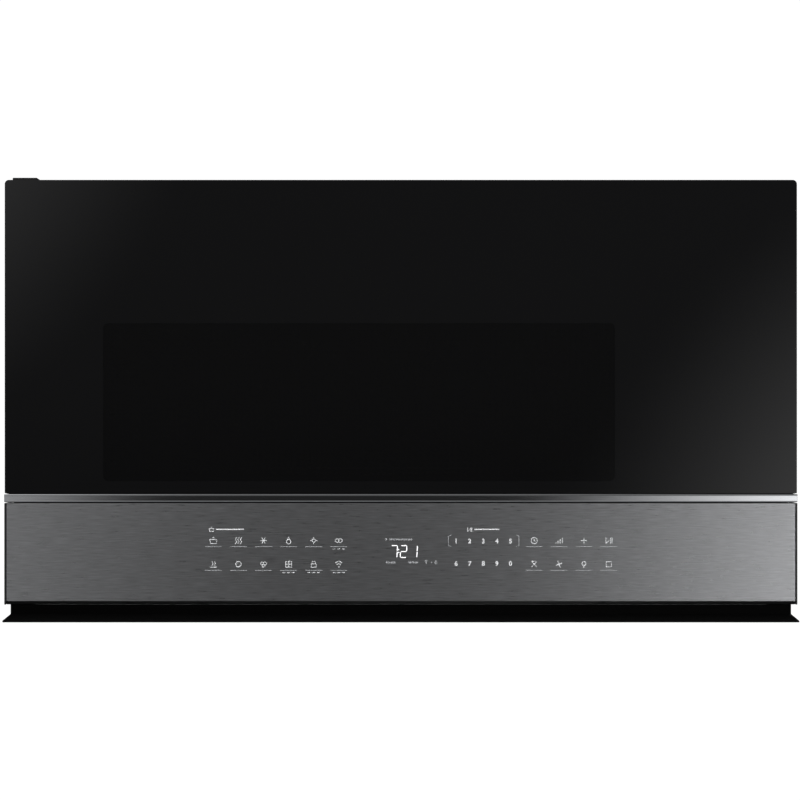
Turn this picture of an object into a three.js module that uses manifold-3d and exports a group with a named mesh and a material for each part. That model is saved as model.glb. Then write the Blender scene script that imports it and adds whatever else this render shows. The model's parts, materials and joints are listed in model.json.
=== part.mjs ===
// A 30-inch-class over-the-range microwave oven, in millimetres, with its door closed.
// +Z is up, -Y is the front (the door) and +X is the viewer's right.
// Heights below are measured from the underside. The origin is the middle of the wall plate's back face.
import * as THREE from "three";
import { ConvexGeometry } from "three/addons/geometries/ConvexGeometry.js";
import { mergeVertices } from "three/addons/utils/BufferGeometryUtils.js";
import Module from "manifold-3d";

// ---------------------------------------------------------------- driving dimensions

const gap = 0.3; // clearance where two pieces meet
const sheet = 1.2; // steel sheet of the carcase
const roundSides = 32; // facets of a large round
const pinSides = 16; // facets of a pin or a small bore
const postSides = 8;
const cornerSteps = 8; // facets of a rounded corner
const past = 1; // cutters run this far past the faces that they open, and pins into what they join

// Whole unit
const unitDepth = 400; // wall to the front of the door glass
const wallFaceHeight = 200; // origin above the underside
const doorWidth = 759;
const doorThickness = 42;
const doorGap = 1.8; // door back to the front frame
const caseInset = 1.5; // case sides inside the door's edges
const caseDrop = 2; // case top below the door top

// Front, from the underside up
const skirtEdge = 1.6;
const skirtFlareHeight = 5.9;
const neckHeight = 9.1;
const panelBevel = 3.4;
const panelFaceHeight = 93.9;
const stripGap = 0.9;
const stripHeight = 7.7;
const glassHeight = 300.2;

// Base skirt
const neckInset = 3.2; // neck inside the case sides
const neckSetback = 6; // neck behind the glass front
const flareOut = 6.8; // skirt's tip outside the neck
const skirtWall = 1.5;

// Wall plate and rear panel
const wallPlateThickness = 1.5;
const wallPlateMargin = 8; // plate inside the case sides
const wallPlateHeight = 350;
const wallHookWidth = 24;
const wallHookReach = 9;
const wallHookInset = 70; // hooks from the plate's ends
const wallHookRise = 4; // hooks above the plate's lower edge
const wallHoleRadius = 4;
const wallHoleRows = [60, 290]; // above the plate's lower edge
const wallHolePitch = 203.2;
const hookSlotClearance = 1.5;

// Oven cavity
const leftDuctWidth = 76.5; // air space between the case and the cavity's left wall
const riserDepth = 54.4; // air space behind the cavity
const cavityFloorRise = 8.3; // oven floor above the door glass's lower edge

// Door
const glassThickness = 5;
const glassCornerRadius = 4;
const frameWall = 10;
const hingeStile = 27; // width of the door frame on the hinge side
const hingeInset = 13.5; // pin axis from the door's left edge
const hingeSetback = 22; // pin axis behind the glass front
const hingeSweep = 12; // room in front of the pin that the lower bracket needs as the door swings
const hingeArmFront = 4.5; // lower bracket's front edge from the pin axis
const hingePinRadius = 3;
const hingePinLength = 12;
const hingeBoreEnd = 2; // bore beyond the pin's end
const hingeArmMargin = 1; // lower bracket's left edge outside its pin
const hingeEarHeight = 6; // lower bracket's upturned fixing edge
const hingeSlotMargin = 6; // slot in the door beyond the lower bracket's right edge
const hingePlate = 2.1;
const hingeTabFront = 4; // tab's front edge behind the glass front
const hingeTabChamfer = 3;
const hingeFootLength = 20; // bracket's foot on the case top
const hingeTabWidth = 26;
const hingeTabInset = 7; // tab's left end from the door's left edge
const doorFrameInset = 0.9; // frame inside the glass outline
const frameSill = 2; // door's inner opening above the glass's lower edge
const windowMargin = 14.5; // window's ends inside the cavity's sides
const windowHeight = 152;
const windowRise = 2.9; // window's lower edge above the oven floor
const screenLap = 8; // screen laps the choke frame round the window
const screenThickness = 1.2;
const innerGlassThickness = 3;
const chokeDepth = 12; // choke walls behind the choke plate
const backCoverThickness = 1.5;
const stripDepth = 14;
const stripProud = 0.6;
const stripBevel = 1.2;
const stripOverhang = 0.5; // strip beyond the glass at each end
const gripDepth = 7; // finger groove in the door's right edge
const gripWidth = 14;
const gripSetback = 6; // groove behind the front of the frame
const gripEndMargin = 30; // groove's ends from the frame's ends

// Latch
const latchInset = 30; // latch bar's middle from the door's right edge
const latchBarWidth = 10;
const latchBarThickness = 5;
const latchHookWidth = 5;
const latchHookHeight = 12;
const latchHookReach = 18; // behind the front frame
const latchBarb = 3;
const latchHookRoot = 1; // hook sunk into the bar
const latchNose = 6; // length of the hook's sloping nose
const latchRises = [69.9, 189.9]; // hooks above the door's lower edge
const latchBarOverrun = 22; // bar beyond the hooks
const latchLift = 4;
const latchSlotSide = 4; // slot clearance beside a hook
const latchSlotEnd = 1; // slot clearance above and below a hook
const latchCoverSide = 0.5; // the same beside a hook in the door's back cover
const springRadius = 2.3;
const springLength = 26;
const springStop = 3; // thickness of the stop above the spring
const switchSize = [10, 25, 16];
const plungerWidth = 4;
const plungerReach = 2;
const switchSetback = 3; // switch behind the interlock bracket's flange
const interlockWall = 2;
const interlockFlange = 11;
const interlockOffset = 11; // bracket's web from the hook's middle
const interlockOverrun = 22;

// Control panel
const panelEndCap = 1.7;
const panelOverhang = 0.5; // end caps outside the door's edge
const panelSkin = 1.2;
const panelFlange = 14;
const housingWall = 2;
const housingLift = 4.4; // bevel of the housing's lower front edge, clear of the fascia's bevel
const displaySize = [60, 12, 34];
const displayRise = 45.1; // display's middle above the panel's lower edge
const displayX = 1;
const displayLap = 4; // housing laps the display's edges
const boardThickness = 1.6;
const boardLength = 420;
const boardMargin = 10; // board inside the housing, above and below
const boardPostRadius = 3;
const boardPostInset = 8;
const relaySize = [18, 16, 20];
const relayPlaces = [-150, -110, -70, 90, 130];

// Turntable
const trayMargin = 6.5; // tray to the cavity's front and back
const trayFlare = 14; // rim outside the tray's flat base
const trayThickness = 5;
const trayRim = 12;
const trayRimEdge = 3; // upright edge of the rim
const trayRimWidth = 5;
const trayDish = 4; // inner slope's foot inside the base's edge
const traySides = 48;
const rollerRadius = 9;
const rollerWidth = 6;
const rollerCount = 3;
const rollerInset = 22; // middle of the rollers inside the tray's base edge
const rollerBore = 2.3;
const rollerChamfer = 1;
const axleRadius = 1.8;
const ringInset = 11; // middle of the ring inside the middle of the rollers
const ringSection = 6;
const turntableMotorRadius = 25;
const turntableMotorHeight = 18;
const motorEarSize = [70, 12, 2];
const stemRadius = 3.5;
const stemDepth = 7; // stem's reach into the motor
const stemTop = 2;
const stemClearance = 1; // in the oven floor
const lobeCount = 3;
const lobeLength = 20;
const lobeWidth = 9;

// Microwave power
const waveguideSize = [30, 100, 140];
const waveguideSetback = 180; // wall to the middle of the waveguide
const waveguideDrop = 10; // waveguide's top below the oven's top
const antennaClearance = 2;
const feedSize = [70, 50]; // opening in the cavity wall, along Y and Z
const feedDrop = 70; // feed's middle below the waveguide's top
const feedCoverLap = 6;
const feedCoverThickness = 0.8;
const magnetronSize = [68, 80, 80];
const magnetronWall = 3;
const magnetronDrop = 4; // yoke's top below the waveguide's top
const antennaRadius = 7;
const antennaLength = 18;
const anodeRadius = 20;
const finCount = 6;
const finThickness = 1.2;
const finInset = 2; // fins inside the yoke's open sides
const filterBoxSize = [22, 40, 44];
const transformerSize = [100, 76, 80];
const transformerLeg = 18;
const transformerMargin = 16.7; // core behind the front frame
const windingProud = 10;
const compartmentMargin = 14; // first component from the cavity wall
const capacitorRadius = 15;
const capacitorLength = 56; // along Y
const capacitorHeight = 92;
const capacitorMargin = 4;
const capacitorSpace = 8.5; // capacitor from the transformer
const terminalSize = [1, 6, 9];
const strapSize = [4, 2]; // width and thickness
const diodeRadius = 4;
const diodeLength = 18;
const filterBoardSize = [100, 70];
const filterBoardInset = 76.5; // middle of the board from the case's inside
const filterBoardDrop = 20.4; // board's top below the case's top
const filterPostLength = 5;
const chokeCoilRadius = 14;
const chokeCoilHeight = 16;
const chokeCoilOffset = 22;
const filterBlockSize = [14, 14, 30];
const filterBlockPlaces = [15, 37]; // from the board's middle

// Cooling fan
const fanFrameSize = 92;
const fanFrameDepth = 25;
const fanFrameEdge = 3; // least width of the frame round its bore
const fanHubRadius = 16;
const fanBladeCount = 7;
const fanTipClearance = 2;
const fanBladePitch = 35; // degrees
const fanBladeRoot = 2; // blade sunk into the hub
const fanBladeSpan = 0.9; // blade's width as a share of the hub's length
const fanInset = 76.5; // fan's axis from the case's inside
const fanSpace = 34; // frame below the filter board
const fanAxleRadius = 2;
const fanSetback = 3; // rotor inside the frame's open face
const fanMotorLength = 6;
const fanSpokeCount = 3;
const fanSpokeWidth = 6;
const fanSpokeDepth = 3;
const fanHubCap = 2; // closed front of the hub
const fanBladeThickness = 1.6;

// Ventilation
const plenumHeight = 48;
const plenumRiser = 55; // air space behind the plenum plate
const blowerSetback = 110; // wall to the blower's shaft
const scrollRadius = 34.8;
const scrollWidth = 76;
const scrollInner = 48; // scroll's inner face from the middle
const scrollWall = 1.2;
const scrollInlet = 21;
const wheelClearance = 5;
const wheelEndClearance = 3;
const wheelSides = 24;
const wheelRing = 5;
const wheelBladeCount = 18;
const wheelBlade = 1;
const wheelBladeInset = 0.5; // blade's edges inside the hub plate and the end ring
const wheelPlate = 1.5;
const wheelHubRadius = 7;
const wheelHubLength = 14;
const shaftRadius = 3;
const shaftInset = 4; // shaft's ends inside the casings' outer faces
const blowerMotorRadius = 27;
const blowerMotorLength = 72;
const motorFoot = 40;
const motorStrap = [16, 3]; // width and thickness
const exhaustSize = [254, 79];
const damperFrameHeight = 9;
const damperFrameWall = 3;
const damperThickness = 1.2;
const damperClearance = 1.5;
const damperLedge = 4; // stop under the flap's front edge
const damperPinRadius = 1.2;
const damperPinLength = 2;
const grilleMargin = 78; // grille's ends from the case's sides
const grilleWidth = 40;
const grilleSetback = 6; // grille behind the front frame
const grilleThickness = 3;
const grilleSlots = 20;
const grilleRib = 9;
const charcoalHeight = 16;
const greaseFilterSize = [193, 127, 9];
const greaseFilterInset = 47; // filter's end from the case's inside
const greaseFilterSpace = 18.5; // filter behind the cooktop lamps
const greaseSlide = 12;
const greaseLedge = 8; // under the filter's front edge and ends
const greaseRearLedge = 4;
const greaseRail = 11;
const lampLensSize = [90, 34];
const lampFilterOffset = 113; // lamp's middle from the filter's middle
const lampSetback = 24.7; // lamp's middle behind the front frame
const lampBodyMargin = 6; // lamp body round its lens
const lampThickness = 3;
const lampBodyHeight = 14;

// Cavity lamp and cord gland
const cavityLampSize = [22, 44, 24];
const cavityLampSetback = 114.7; // lamp behind the front frame
const cavityLampDrop = 35; // lamp's middle below the cavity's top
const cavityLensSize = [34, 16];
const glandRadius = 13;
const glandBore = 4.5;
const glandInset = 46.5; // gland's axis from the case's inside
const glandSetback = 50; // wall to the gland's axis
const glandRise = 1.6;
const glandLip = 3;
const glandChamfer = 1;

// ---------------------------------------------------------------- places worked out from them

const flareTop = skirtEdge + skirtFlareHeight;
const neckTop = flareTop + neckHeight;
const panelBottom = neckTop + gap;
const panelTop = panelBottom + panelBevel + panelFaceHeight;
const stripBottom = panelTop + stripGap;
const stripTop = stripBottom + stripHeight;
const glassBottom = stripTop + stripGap;
const doorTop = glassBottom + glassHeight;

const glassFront = -unitDepth;
const glassBack = glassFront + glassThickness;
const doorBack = glassFront + doorThickness;
const caseFront = doorBack + doorGap;
const caseBack = -(wallPlateThickness + gap);
const caseTop = doorTop - caseDrop;
const caseBottom = panelBottom;
const doorSide = doorWidth / 2;
const caseSide = doorSide - caseInset;
const insideSide = caseSide - sheet - gap;
const insideTop = caseTop - sheet - gap;
const insideFront = caseFront + sheet + gap;
const insideBack = caseBack - sheet - gap;
const panTop = panelBottom + sheet;

const neckSide = caseSide - neckInset;
const neckFront = glassFront + neckSetback;

// The blower lies between the exhaust damper and the oven.
const damperZ = [insideTop - damperFrameHeight, insideTop];
const scrollTop = damperZ[0] - gap;
const blowerFloor = scrollTop - 2 * scrollRadius;

const transformerEnd = compartmentMargin + transformerSize[0];
const compartmentWidth = transformerEnd + capacitorSpace + 2 * capacitorRadius + capacitorMargin;
const cavityLeft = -insideSide + leftDuctWidth;
const cavityRight = insideSide - compartmentWidth;
const cavityCentreX = (cavityLeft + cavityRight) / 2;
const cavityFloorHeight = glassBottom + cavityFloorRise;
const cavityTop = blowerFloor - gap - sheet;
const cavityBack = insideBack - riserDepth;
const turntableY = (insideFront + cavityBack) / 2;
const windowLeft = cavityLeft + windowMargin;
const windowRight = cavityRight - windowMargin;
const windowBottom = cavityFloorHeight + windowRise;
const windowTop = windowBottom + windowHeight;

const hingeX = -doorSide + hingeInset;
const hingeY = glassFront + hingeSetback;
const latchHeights = latchRises.map((rise) => stripBottom + rise);

// ---------------------------------------------------------------- shapes

const wasm = await Module();
wasm.setup();

// A closed three.js geometry as a solid that can be joined and cut.
function solidOf(geometry) {
  const bare = new THREE.BufferGeometry();
  const source = geometry.index ? geometry.toNonIndexed() : geometry;
  bare.setAttribute("position", source.getAttribute("position"));
  const merged = mergeVertices(bare, 1e-4);
  const triangles = [];
  for (let i = 0; i < merged.index.count; i += 3) {
    const [a, b, c] = merged.index.array.subarray(i, i + 3);
    if (a !== b && b !== c && c !== a) triangles.push(a, b, c);
  }
  return new wasm.Manifold(
    new wasm.Mesh({
      numProp: 3,
      vertProperties: new Float32Array(merged.attributes.position.array),
      triVerts: new Uint32Array(triangles),
    }),
  );
}

function block([x0, x1], [y0, y1], [z0, z1]) {
  const geometry = new THREE.BoxGeometry(x1 - x0, y1 - y0, z1 - z0);
  return solidOf(geometry.translate((x0 + x1) / 2, (y0 + y1) / 2, (z0 + z1) / 2));
}

// The range of a length about its middle.
const about = (middle, length) => [middle - length / 2, middle + length / 2];

// A cylinder from one height to another along "x", "y" or "z", about the two other coordinates.
function rod(axis, radius, [from, to], [first, second], sides = roundSides) {
  const geometry = new THREE.CylinderGeometry(radius, radius, to - from, sides);
  const middle = (from + to) / 2;
  if (axis === "x") return solidOf(geometry.rotateZ(-Math.PI / 2).translate(middle, first, second));
  if (axis === "y") return solidOf(geometry.translate(first, middle, second));
  return solidOf(geometry.rotateX(Math.PI / 2).translate(first, second, middle));
}

// An outline swept along an axis: [y, z] points along X, [x, z] points along Y, [x, y] points along Z.
function prism(axis, outline, [from, to]) {
  const shape = new THREE.Shape(outline.map((p) => new THREE.Vector2(...p)));
  const geometry = new THREE.ExtrudeGeometry(shape, { depth: to - from, bevelEnabled: false });
  const turn = new THREE.Matrix4();
  if (axis === "x") {
    turn.makeBasis(new THREE.Vector3(0, 1, 0), new THREE.Vector3(0, 0, 1), new THREE.Vector3(1, 0, 0));
    turn.setPosition(from, 0, 0);
  } else if (axis === "y") {
    turn.makeBasis(new THREE.Vector3(1, 0, 0), new THREE.Vector3(0, 0, 1), new THREE.Vector3(0, -1, 0));
    turn.setPosition(0, to, 0);
  } else {
    turn.setPosition(0, 0, from);
  }
  return solidOf(geometry.applyMatrix4(turn));
}

// The points of an arc about a centre, between two angles in degrees.
function arc([x, y], radius, [from, to], steps = cornerSteps) {
  const points = [];
  for (let i = 0; i <= steps; i++) {
    const angle = ((from + ((to - from) * i) / steps) * Math.PI) / 180;
    points.push([x + radius * Math.cos(angle), y + radius * Math.sin(angle)]);
  }
  return points;
}

// A profile of [radius, height] points, turned about +Z.
function turned(profile, sides = roundSides) {
  const points = profile.map((p) => new THREE.Vector2(...p));
  return solidOf(new THREE.LatheGeometry(points, sides).rotateX(Math.PI / 2));
}

// A block that changes from one rectangle, [[x0, x1], [y0, y1]], to another over a height.
function taperedBlock(lower, upper, [z0, z1]) {
  const corners = [];
  for (const [[xs, ys], z] of [[lower, z0], [upper, z1]]) {
    for (const x of xs) for (const y of ys) corners.push(new THREE.Vector3(x, y, z));
  }
  return solidOf(new ConvexGeometry(corners));
}

// A range made smaller at both ends, or larger by a negative amount, and a range run past both ends.
const inset = ([from, to], by) => [from + by, to - by];
const through = (range) => inset(range, -past);

// A range given by its two ends in either order.
const between = (a, b) => [Math.min(a, b), Math.max(a, b)];

const joined = (solids) => solids.reduce((whole, solid) => whole.add(solid));
const cut = (solid, cutters) => cutters.reduce((rest, cutter) => rest.subtract(cutter), solid);

// ---------------------------------------------------------------- finishes and the tree of groups

const finish = (color, roughness, metalness = 0, opacity = 1) => () =>
  new THREE.MeshStandardMaterial({ color, roughness, metalness, opacity, transparent: opacity < 1 });

const finishes = {
  blackGlass: finish(0x08090a, 0.08),
  blackPlastic: finish(0x111214, 0.45),
  blackPaint: finish(0x0d0e0f, 0.4, 0.3),
  brushedSteel: finish(0x6a6c70, 0.35, 1),
  brightTrim: finish(0x9a9ca0, 0.25, 1),
  galvanised: finish(0xa9adb0, 0.5, 0.9),
  enamel: finish(0xc9c7c0, 0.4, 0.1),
  clearGlass: finish(0xdde6e8, 0.05, 0, 0.4),
  whitePlastic: finish(0xe8e6e0, 0.5),
  copper: finish(0xb36a3c, 0.4, 0.9),
  laminations: finish(0x55585c, 0.6, 0.7),
  board: finish(0x1f5a38, 0.6),
  mica: finish(0xb8a98c, 0.7),
  charcoal: finish(0x1a1a1a, 0.95),
  filterMesh: finish(0xb9bcbf, 0.45, 0.9),
  rubber: finish(0x161616, 0.9),
};

const unit = new THREE.Group();
unit.position.z = -wallFaceHeight;

function group(parent = unit, x = 0, y = 0, z = 0) {
  const made = new THREE.Group();
  made.position.set(x, y, z);
  parent.add(made);
  return made;
}

const carcase = group();
const oven = group();
const power = group();
const ventilation = group();
const controls = group();
const door = group();
const turntable = group(unit, cavityCentreX, turntableY, cavityFloorHeight + gap);

function piece(parent, name, solid, look) {
  const { vertProperties, triVerts } = solid.getMesh();
  const geometry = new THREE.BufferGeometry();
  geometry.setAttribute("position", new THREE.BufferAttribute(vertProperties, 3));
  geometry.setIndex(new THREE.BufferAttribute(triVerts, 1));
  const faceted = geometry.toNonIndexed();
  faceted.computeVertexNormals();
  const mesh = new THREE.Mesh(faceted, look());
  mesh.name = name;
  parent.add(mesh);
  return mesh;
}

// ---------------------------------------------------------------- wall plate and carcase

const wallPlateSide = caseSide - wallPlateMargin;
const wallPlateBottom = wallFaceHeight - wallPlateHeight / 2;
const hookX = [-wallPlateSide + wallHookInset, wallPlateSide - wallHookInset];
const hookBottom = wallPlateBottom + wallHookRise;

function wallPlate() {
  const plateZ = [wallPlateBottom, wallPlateBottom + wallPlateHeight];
  const plateY = [-wallPlateThickness, 0];
  const plate = block([-wallPlateSide, wallPlateSide], plateY, plateZ);
  const hookY = [-wallPlateThickness - wallHookReach, 0];
  const hookZ = [hookBottom, hookBottom + wallPlateThickness];
  const hooks = hookX.map((x) => block(about(x, wallHookWidth), hookY, hookZ));
  const holes = [];
  for (const row of wallHoleRows) {
    for (const column of [-1.5, -0.5, 0.5, 1.5]) {
      const place = [column * wallHolePitch, wallPlateBottom + row];
      holes.push(rod("y", wallHoleRadius, through(plateY), place, pinSides));
    }
  }
  return cut(joined([plate, ...hooks]), holes);
}

function rearPanel() {
  const panelY = [caseBack - sheet, caseBack];
  const panel = block([-insideSide, insideSide], panelY, [panTop + gap, insideTop]);
  const slotWidth = wallHookWidth + 2 * hookSlotClearance;
  const slotZ = inset([hookBottom, hookBottom + wallPlateThickness], -hookSlotClearance);
  const slots = hookX.map((x) => block(about(x, slotWidth), through(panelY), slotZ));
  return cut(panel, slots);
}

const blowerY = -blowerSetback;
const exhaustX = about(0, exhaustSize[0]);
const exhaustY = about(blowerY, exhaustSize[1]);
const glandX = insideSide - glandInset;
const glandY = -glandSetback;
const grilleX = [-caseSide + grilleMargin, caseSide - grilleMargin];
const grilleY = [insideFront + grilleSetback, insideFront + grilleSetback + grilleWidth];

function caseWrap() {
  const wrapY = [caseFront, caseBack];
  const topZ = [caseTop - sheet, caseTop];
  const outside = block([-caseSide, caseSide], wrapY, [caseBottom, caseTop]);
  const inside = block(inset([-caseSide, caseSide], sheet), through(wrapY), [caseBottom - past, topZ[0]]);
  return cut(outside, [
    inside,
    block(exhaustX, exhaustY, through(topZ)),
    block(inset(grilleX, -gap), inset(grilleY, -gap), through(topZ)),
    rod("z", glandRadius - glandLip + gap, through(topZ), [glandX, glandY], pinSides),
  ]);
}

const latchX = doorSide - latchInset;

function frontFrame() {
  const plateY = [caseFront, caseFront + sheet];
  const plate = block([-insideSide, insideSide], plateY, [panTop + gap, insideTop]);
  const mouth = block([cavityLeft, cavityRight], through(plateY), [cavityFloorHeight, cavityTop]);
  const slotX = about(latchX, latchHookWidth + 2 * latchSlotSide);
  const slots = latchHeights.map((z) => {
    const low = z - latchHookHeight / 2 - latchBarb - latchSlotEnd;
    const high = z + latchHookHeight / 2 + latchLift + latchSlotEnd;
    return block(slotX, through(plateY), [low, high]);
  });
  return cut(plate, [mouth, ...slots]);
}

const lampY = insideFront + lampSetback;
const greaseFilterX = insideSide - greaseFilterInset - greaseFilterSize[0] / 2;
const greaseFront = lampY + lampLensSize[1] / 2 + lampBodyMargin + greaseFilterSpace;
const greaseBack = greaseFront + greaseFilterSize[1];
const lampX = greaseFilterX - lampFilterOffset;

function basePan() {
  const panZ = [panelBottom, panTop];
  const floor = block([-insideSide, insideSide], [neckFront + skirtWall, insideBack], panZ);
  const side = greaseFilterSize[0] / 2;
  const railY = [greaseFront, greaseBack + greaseSlide];
  const filterY = [greaseFront + greaseLedge, greaseBack - greaseRearLedge];
  const lensY = about(lampY, lampLensSize[1] + 2 * gap);
  const rails = [];
  const openings = [];
  for (const way of [-1, 1]) {
    const x = way * greaseFilterX;
    for (const end of [x - side - gap - sheet, x + side + gap]) {
      rails.push(block([end, end + sheet], railY, [panelBottom, panTop + greaseRail]));
    }
    openings.push(block(about(x, 2 * (side - greaseLedge)), filterY, through(panZ)));
    openings.push(block(about(way * lampX, lampLensSize[0] + 2 * gap), lensY, through(panZ)));
  }
  return cut(joined([floor, ...rails]), openings);
}

// The skirt is a thin band: a straight neck, a flare to the front and sides, and a straight edge.
function baseSkirt() {
  const ring = (out) => [
    [-neckSide - out, neckSide + out],
    [neckFront - out, insideBack],
  ];
  const innerTip = flareOut - skirtWall;
  const innerEdge = skirtEdge - skirtWall;
  return cut(
    joined([
      block(...ring(0), [flareTop - gap, neckTop]),
      taperedBlock(ring(flareOut), ring(0), [skirtEdge, flareTop]),
      block(...ring(flareOut), [0, skirtEdge]),
    ]),
    [
      block(...ring(-skirtWall), through([0, neckTop])),
      taperedBlock(ring(innerTip), ring(-skirtWall), [innerEdge, flareTop - skirtWall]),
      block(...ring(innerTip), [-past, innerEdge + gap]),
    ],
  );
}

function plenumPlate() {
  const plateY = [insideFront, insideBack - plenumRiser];
  const top = plenumHeight + sheet;
  const plate = block([-insideSide, insideSide], plateY, [plenumHeight, top]);
  const flanges = [-1, 1].map((way) =>
    block(between(way * insideSide, way * (insideSide - sheet)), plateY, [panTop + gap, top]),
  );
  return joined([plate, ...flanges]);
}

const tabLeft = -doorSide + hingeTabInset;
const tabRight = tabLeft + hingeTabWidth;

// The top bracket is a plate over the door's corner with a pin down into the door.
function topHinge() {
  const low = doorTop + gap;
  const high = low + hingePlate;
  const chamferLeft = tabRight - hingeTabChamfer;
  const footBack = caseFront + hingeFootLength;
  const section = [
    [tabLeft, low],
    [tabRight, low],
    [chamferLeft, high],
    [tabLeft, high],
  ];
  return joined([
    prism("y", section, [glassFront + hingeTabFront, footBack]),
    rod("z", hingePinRadius, [low - gap - hingePinLength, high], [hingeX, hingeY], pinSides),
    block([tabLeft, chamferLeft], [caseFront, footBack], [caseTop + gap, high]),
  ]);
}

// The lower bracket reaches out of the front frame, in the slot between the door and the panel housing.
function bottomHinge() {
  const low = panelTop + gap;
  const high = low + hingePlate;
  const back = caseFront - gap;
  const armX = [hingeX - hingePinRadius - hingeArmMargin, tabRight];
  return joined([
    block(armX, [hingeY - hingeArmFront, back], [low, high]),
    block(armX, [back - sheet, back], [low, high + hingeEarHeight]),
    rod("z", hingePinRadius, [low, high + hingePinLength], [hingeX, hingeY], pinSides),
  ]);
}

function cordGland() {
  const neck = glandRadius - glandLip;
  const low = caseTop - sheet - gap;
  const high = caseTop + gap;
  return turned(
    [
      [glandBore, low - glandLip],
      [glandRadius, low - glandLip],
      [glandRadius, low],
      [neck, low],
      [neck, high],
      [glandRadius, high],
      [glandRadius - glandChamfer, high + glandRise],
      [glandBore, high + glandRise],
      [glandBore, low - glandLip],
    ],
    pinSides,
  );
}

piece(carcase, "wall_plate", wallPlate(), finishes.galvanised);
piece(carcase, "rear_panel", rearPanel(), finishes.galvanised);
piece(carcase, "case_wrap", caseWrap(), finishes.blackPaint);
piece(carcase, "front_frame", frontFrame(), finishes.blackPaint);
piece(carcase, "base_pan", basePan(), finishes.blackPaint);
piece(carcase, "base_skirt", baseSkirt(), finishes.blackPaint);
piece(carcase, "plenum_plate", plenumPlate(), finishes.galvanised);
piece(carcase, "hinge_bracket_top", topHinge(), finishes.blackPaint);
piece(carcase, "hinge_bracket_bottom", bottomHinge(), finishes.blackPaint);
piece(carcase, "cord_gland", cordGland(), finishes.rubber).position.set(glandX, glandY, 0);

// ---------------------------------------------------------------- oven cavity

const waveguideY = -waveguideSetback;
const cavityLampY = insideFront + cavityLampSetback;
const cavityLampHeight = cavityTop - cavityLampDrop;
const waveguideTop = cavityTop - waveguideDrop;
const feedY = about(waveguideY, feedSize[0]);
const feedZ = about(waveguideTop - feedDrop, feedSize[1]);

function ovenCavity() {
  const leftWall = [cavityLeft - sheet, cavityLeft];
  const rightWall = [cavityRight, cavityRight + sheet];
  const floor = [cavityFloorHeight - sheet, cavityFloorHeight];
  const outside = block(
    [leftWall[0], rightWall[1]],
    [insideFront, cavityBack + sheet],
    [floor[0], cavityTop + sheet],
  );
  const lensY = about(cavityLampY, cavityLensSize[0] + 2 * gap);
  const lensZ = about(cavityLampHeight, cavityLensSize[1] + 2 * gap);
  return cut(outside, [
    block([cavityLeft, cavityRight], [insideFront - past, cavityBack], [cavityFloorHeight, cavityTop]),
    block(through(rightWall), feedY, feedZ),
    block(through(leftWall), lensY, lensZ),
    rod("z", stemRadius + stemClearance, through(floor), [cavityCentreX, turntableY], pinSides),
  ]);
}

function cavityLamp() {
  const outer = cavityLeft - sheet - gap;
  const bodyY = about(cavityLampY, cavityLampSize[1]);
  const bodyZ = about(cavityLampHeight, cavityLampSize[2]);
  const lensY = about(cavityLampY, cavityLensSize[0]);
  const lensZ = about(cavityLampHeight, cavityLensSize[1]);
  return joined([
    block([outer - cavityLampSize[0], outer], bodyY, bodyZ),
    block([outer - past, cavityLeft], lensY, lensZ),
  ]);
}

function waveguideCover() {
  const inner = cavityRight - gap;
  return block([inner - feedCoverThickness, inner], inset(feedY, -feedCoverLap), inset(feedZ, -feedCoverLap));
}

piece(oven, "oven_cavity", ovenCavity(), finishes.enamel);
piece(oven, "cavity_lamp", cavityLamp(), finishes.whitePlastic);
piece(oven, "waveguide_cover", waveguideCover(), finishes.mica);

// ---------------------------------------------------------------- turntable

const trayRadius = (cavityBack - insideFront) / 2 - trayMargin;
const trayBaseRadius = trayRadius - trayFlare;
const rollerTrack = trayBaseRadius - rollerInset;
const ringRadius = rollerTrack - ringInset;
const motorTop = -gap - sheet - gap;
const motorBottom = motorTop - turntableMotorHeight;
const trayBottom = 2 * rollerRadius + gap;

function turntableMotor() {
  const [earLength, earWidth, earThickness] = motorEarSize;
  const body = rod("z", turntableMotorRadius, [motorBottom, motorTop], [0, 0]);
  const ears = block(about(0, earLength), about(0, earWidth), [motorTop - earThickness, motorTop]);
  const bore = rod("z", stemRadius + gap, through([motorTop - stemDepth, motorTop]), [0, 0], pinSides);
  return cut(joined([body, ears]), [bore]);
}

// The coupler's lobes sit under the tray and its stem runs down into the motor.
function driveCoupler() {
  const stem = rod("z", stemRadius, [motorTop - stemDepth, stemTop], [0, 0], pinSides);
  const hub = rod("z", lobeWidth, [0, 2 * rollerRadius], [0, 0], pinSides);
  const lobes = [];
  for (let i = 0; i < lobeCount; i++) {
    const lobe = block([0, lobeLength], about(0, lobeWidth), [rollerRadius, 2 * rollerRadius]);
    lobes.push(lobe.rotate([0, 0, (i * 360) / lobeCount]));
  }
  return joined([stem, hub, ...lobes]);
}

function glassTray() {
  const low = trayBottom;
  const high = low + trayThickness;
  return turned(
    [
      [0, low],
      [trayBaseRadius, low],
      [trayRadius, low + trayRim - trayRimEdge],
      [trayRadius, low + trayRim],
      [trayRadius - trayRimWidth, low + trayRim],
      [trayBaseRadius - trayDish, high],
      [0, high],
    ],
    traySides,
  );
}

function rollerRing() {
  const half = ringSection / 2;
  const ring = turned(
    [
      [ringRadius - half, rollerRadius - half],
      [ringRadius + half, rollerRadius - half],
      [ringRadius + half, rollerRadius + half],
      [ringRadius - half, rollerRadius + half],
      [ringRadius - half, rollerRadius - half],
    ],
    traySides,
  );
  const axles = [];
  for (let i = 0; i < rollerCount; i++) {
    const axle = rod("x", axleRadius, [ringRadius, rollerTrack + rollerWidth], [0, rollerRadius], pinSides);
    axles.push(axle.rotate([0, 0, (i * 360) / rollerCount]));
  }
  return joined([ring, ...axles]);
}

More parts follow.
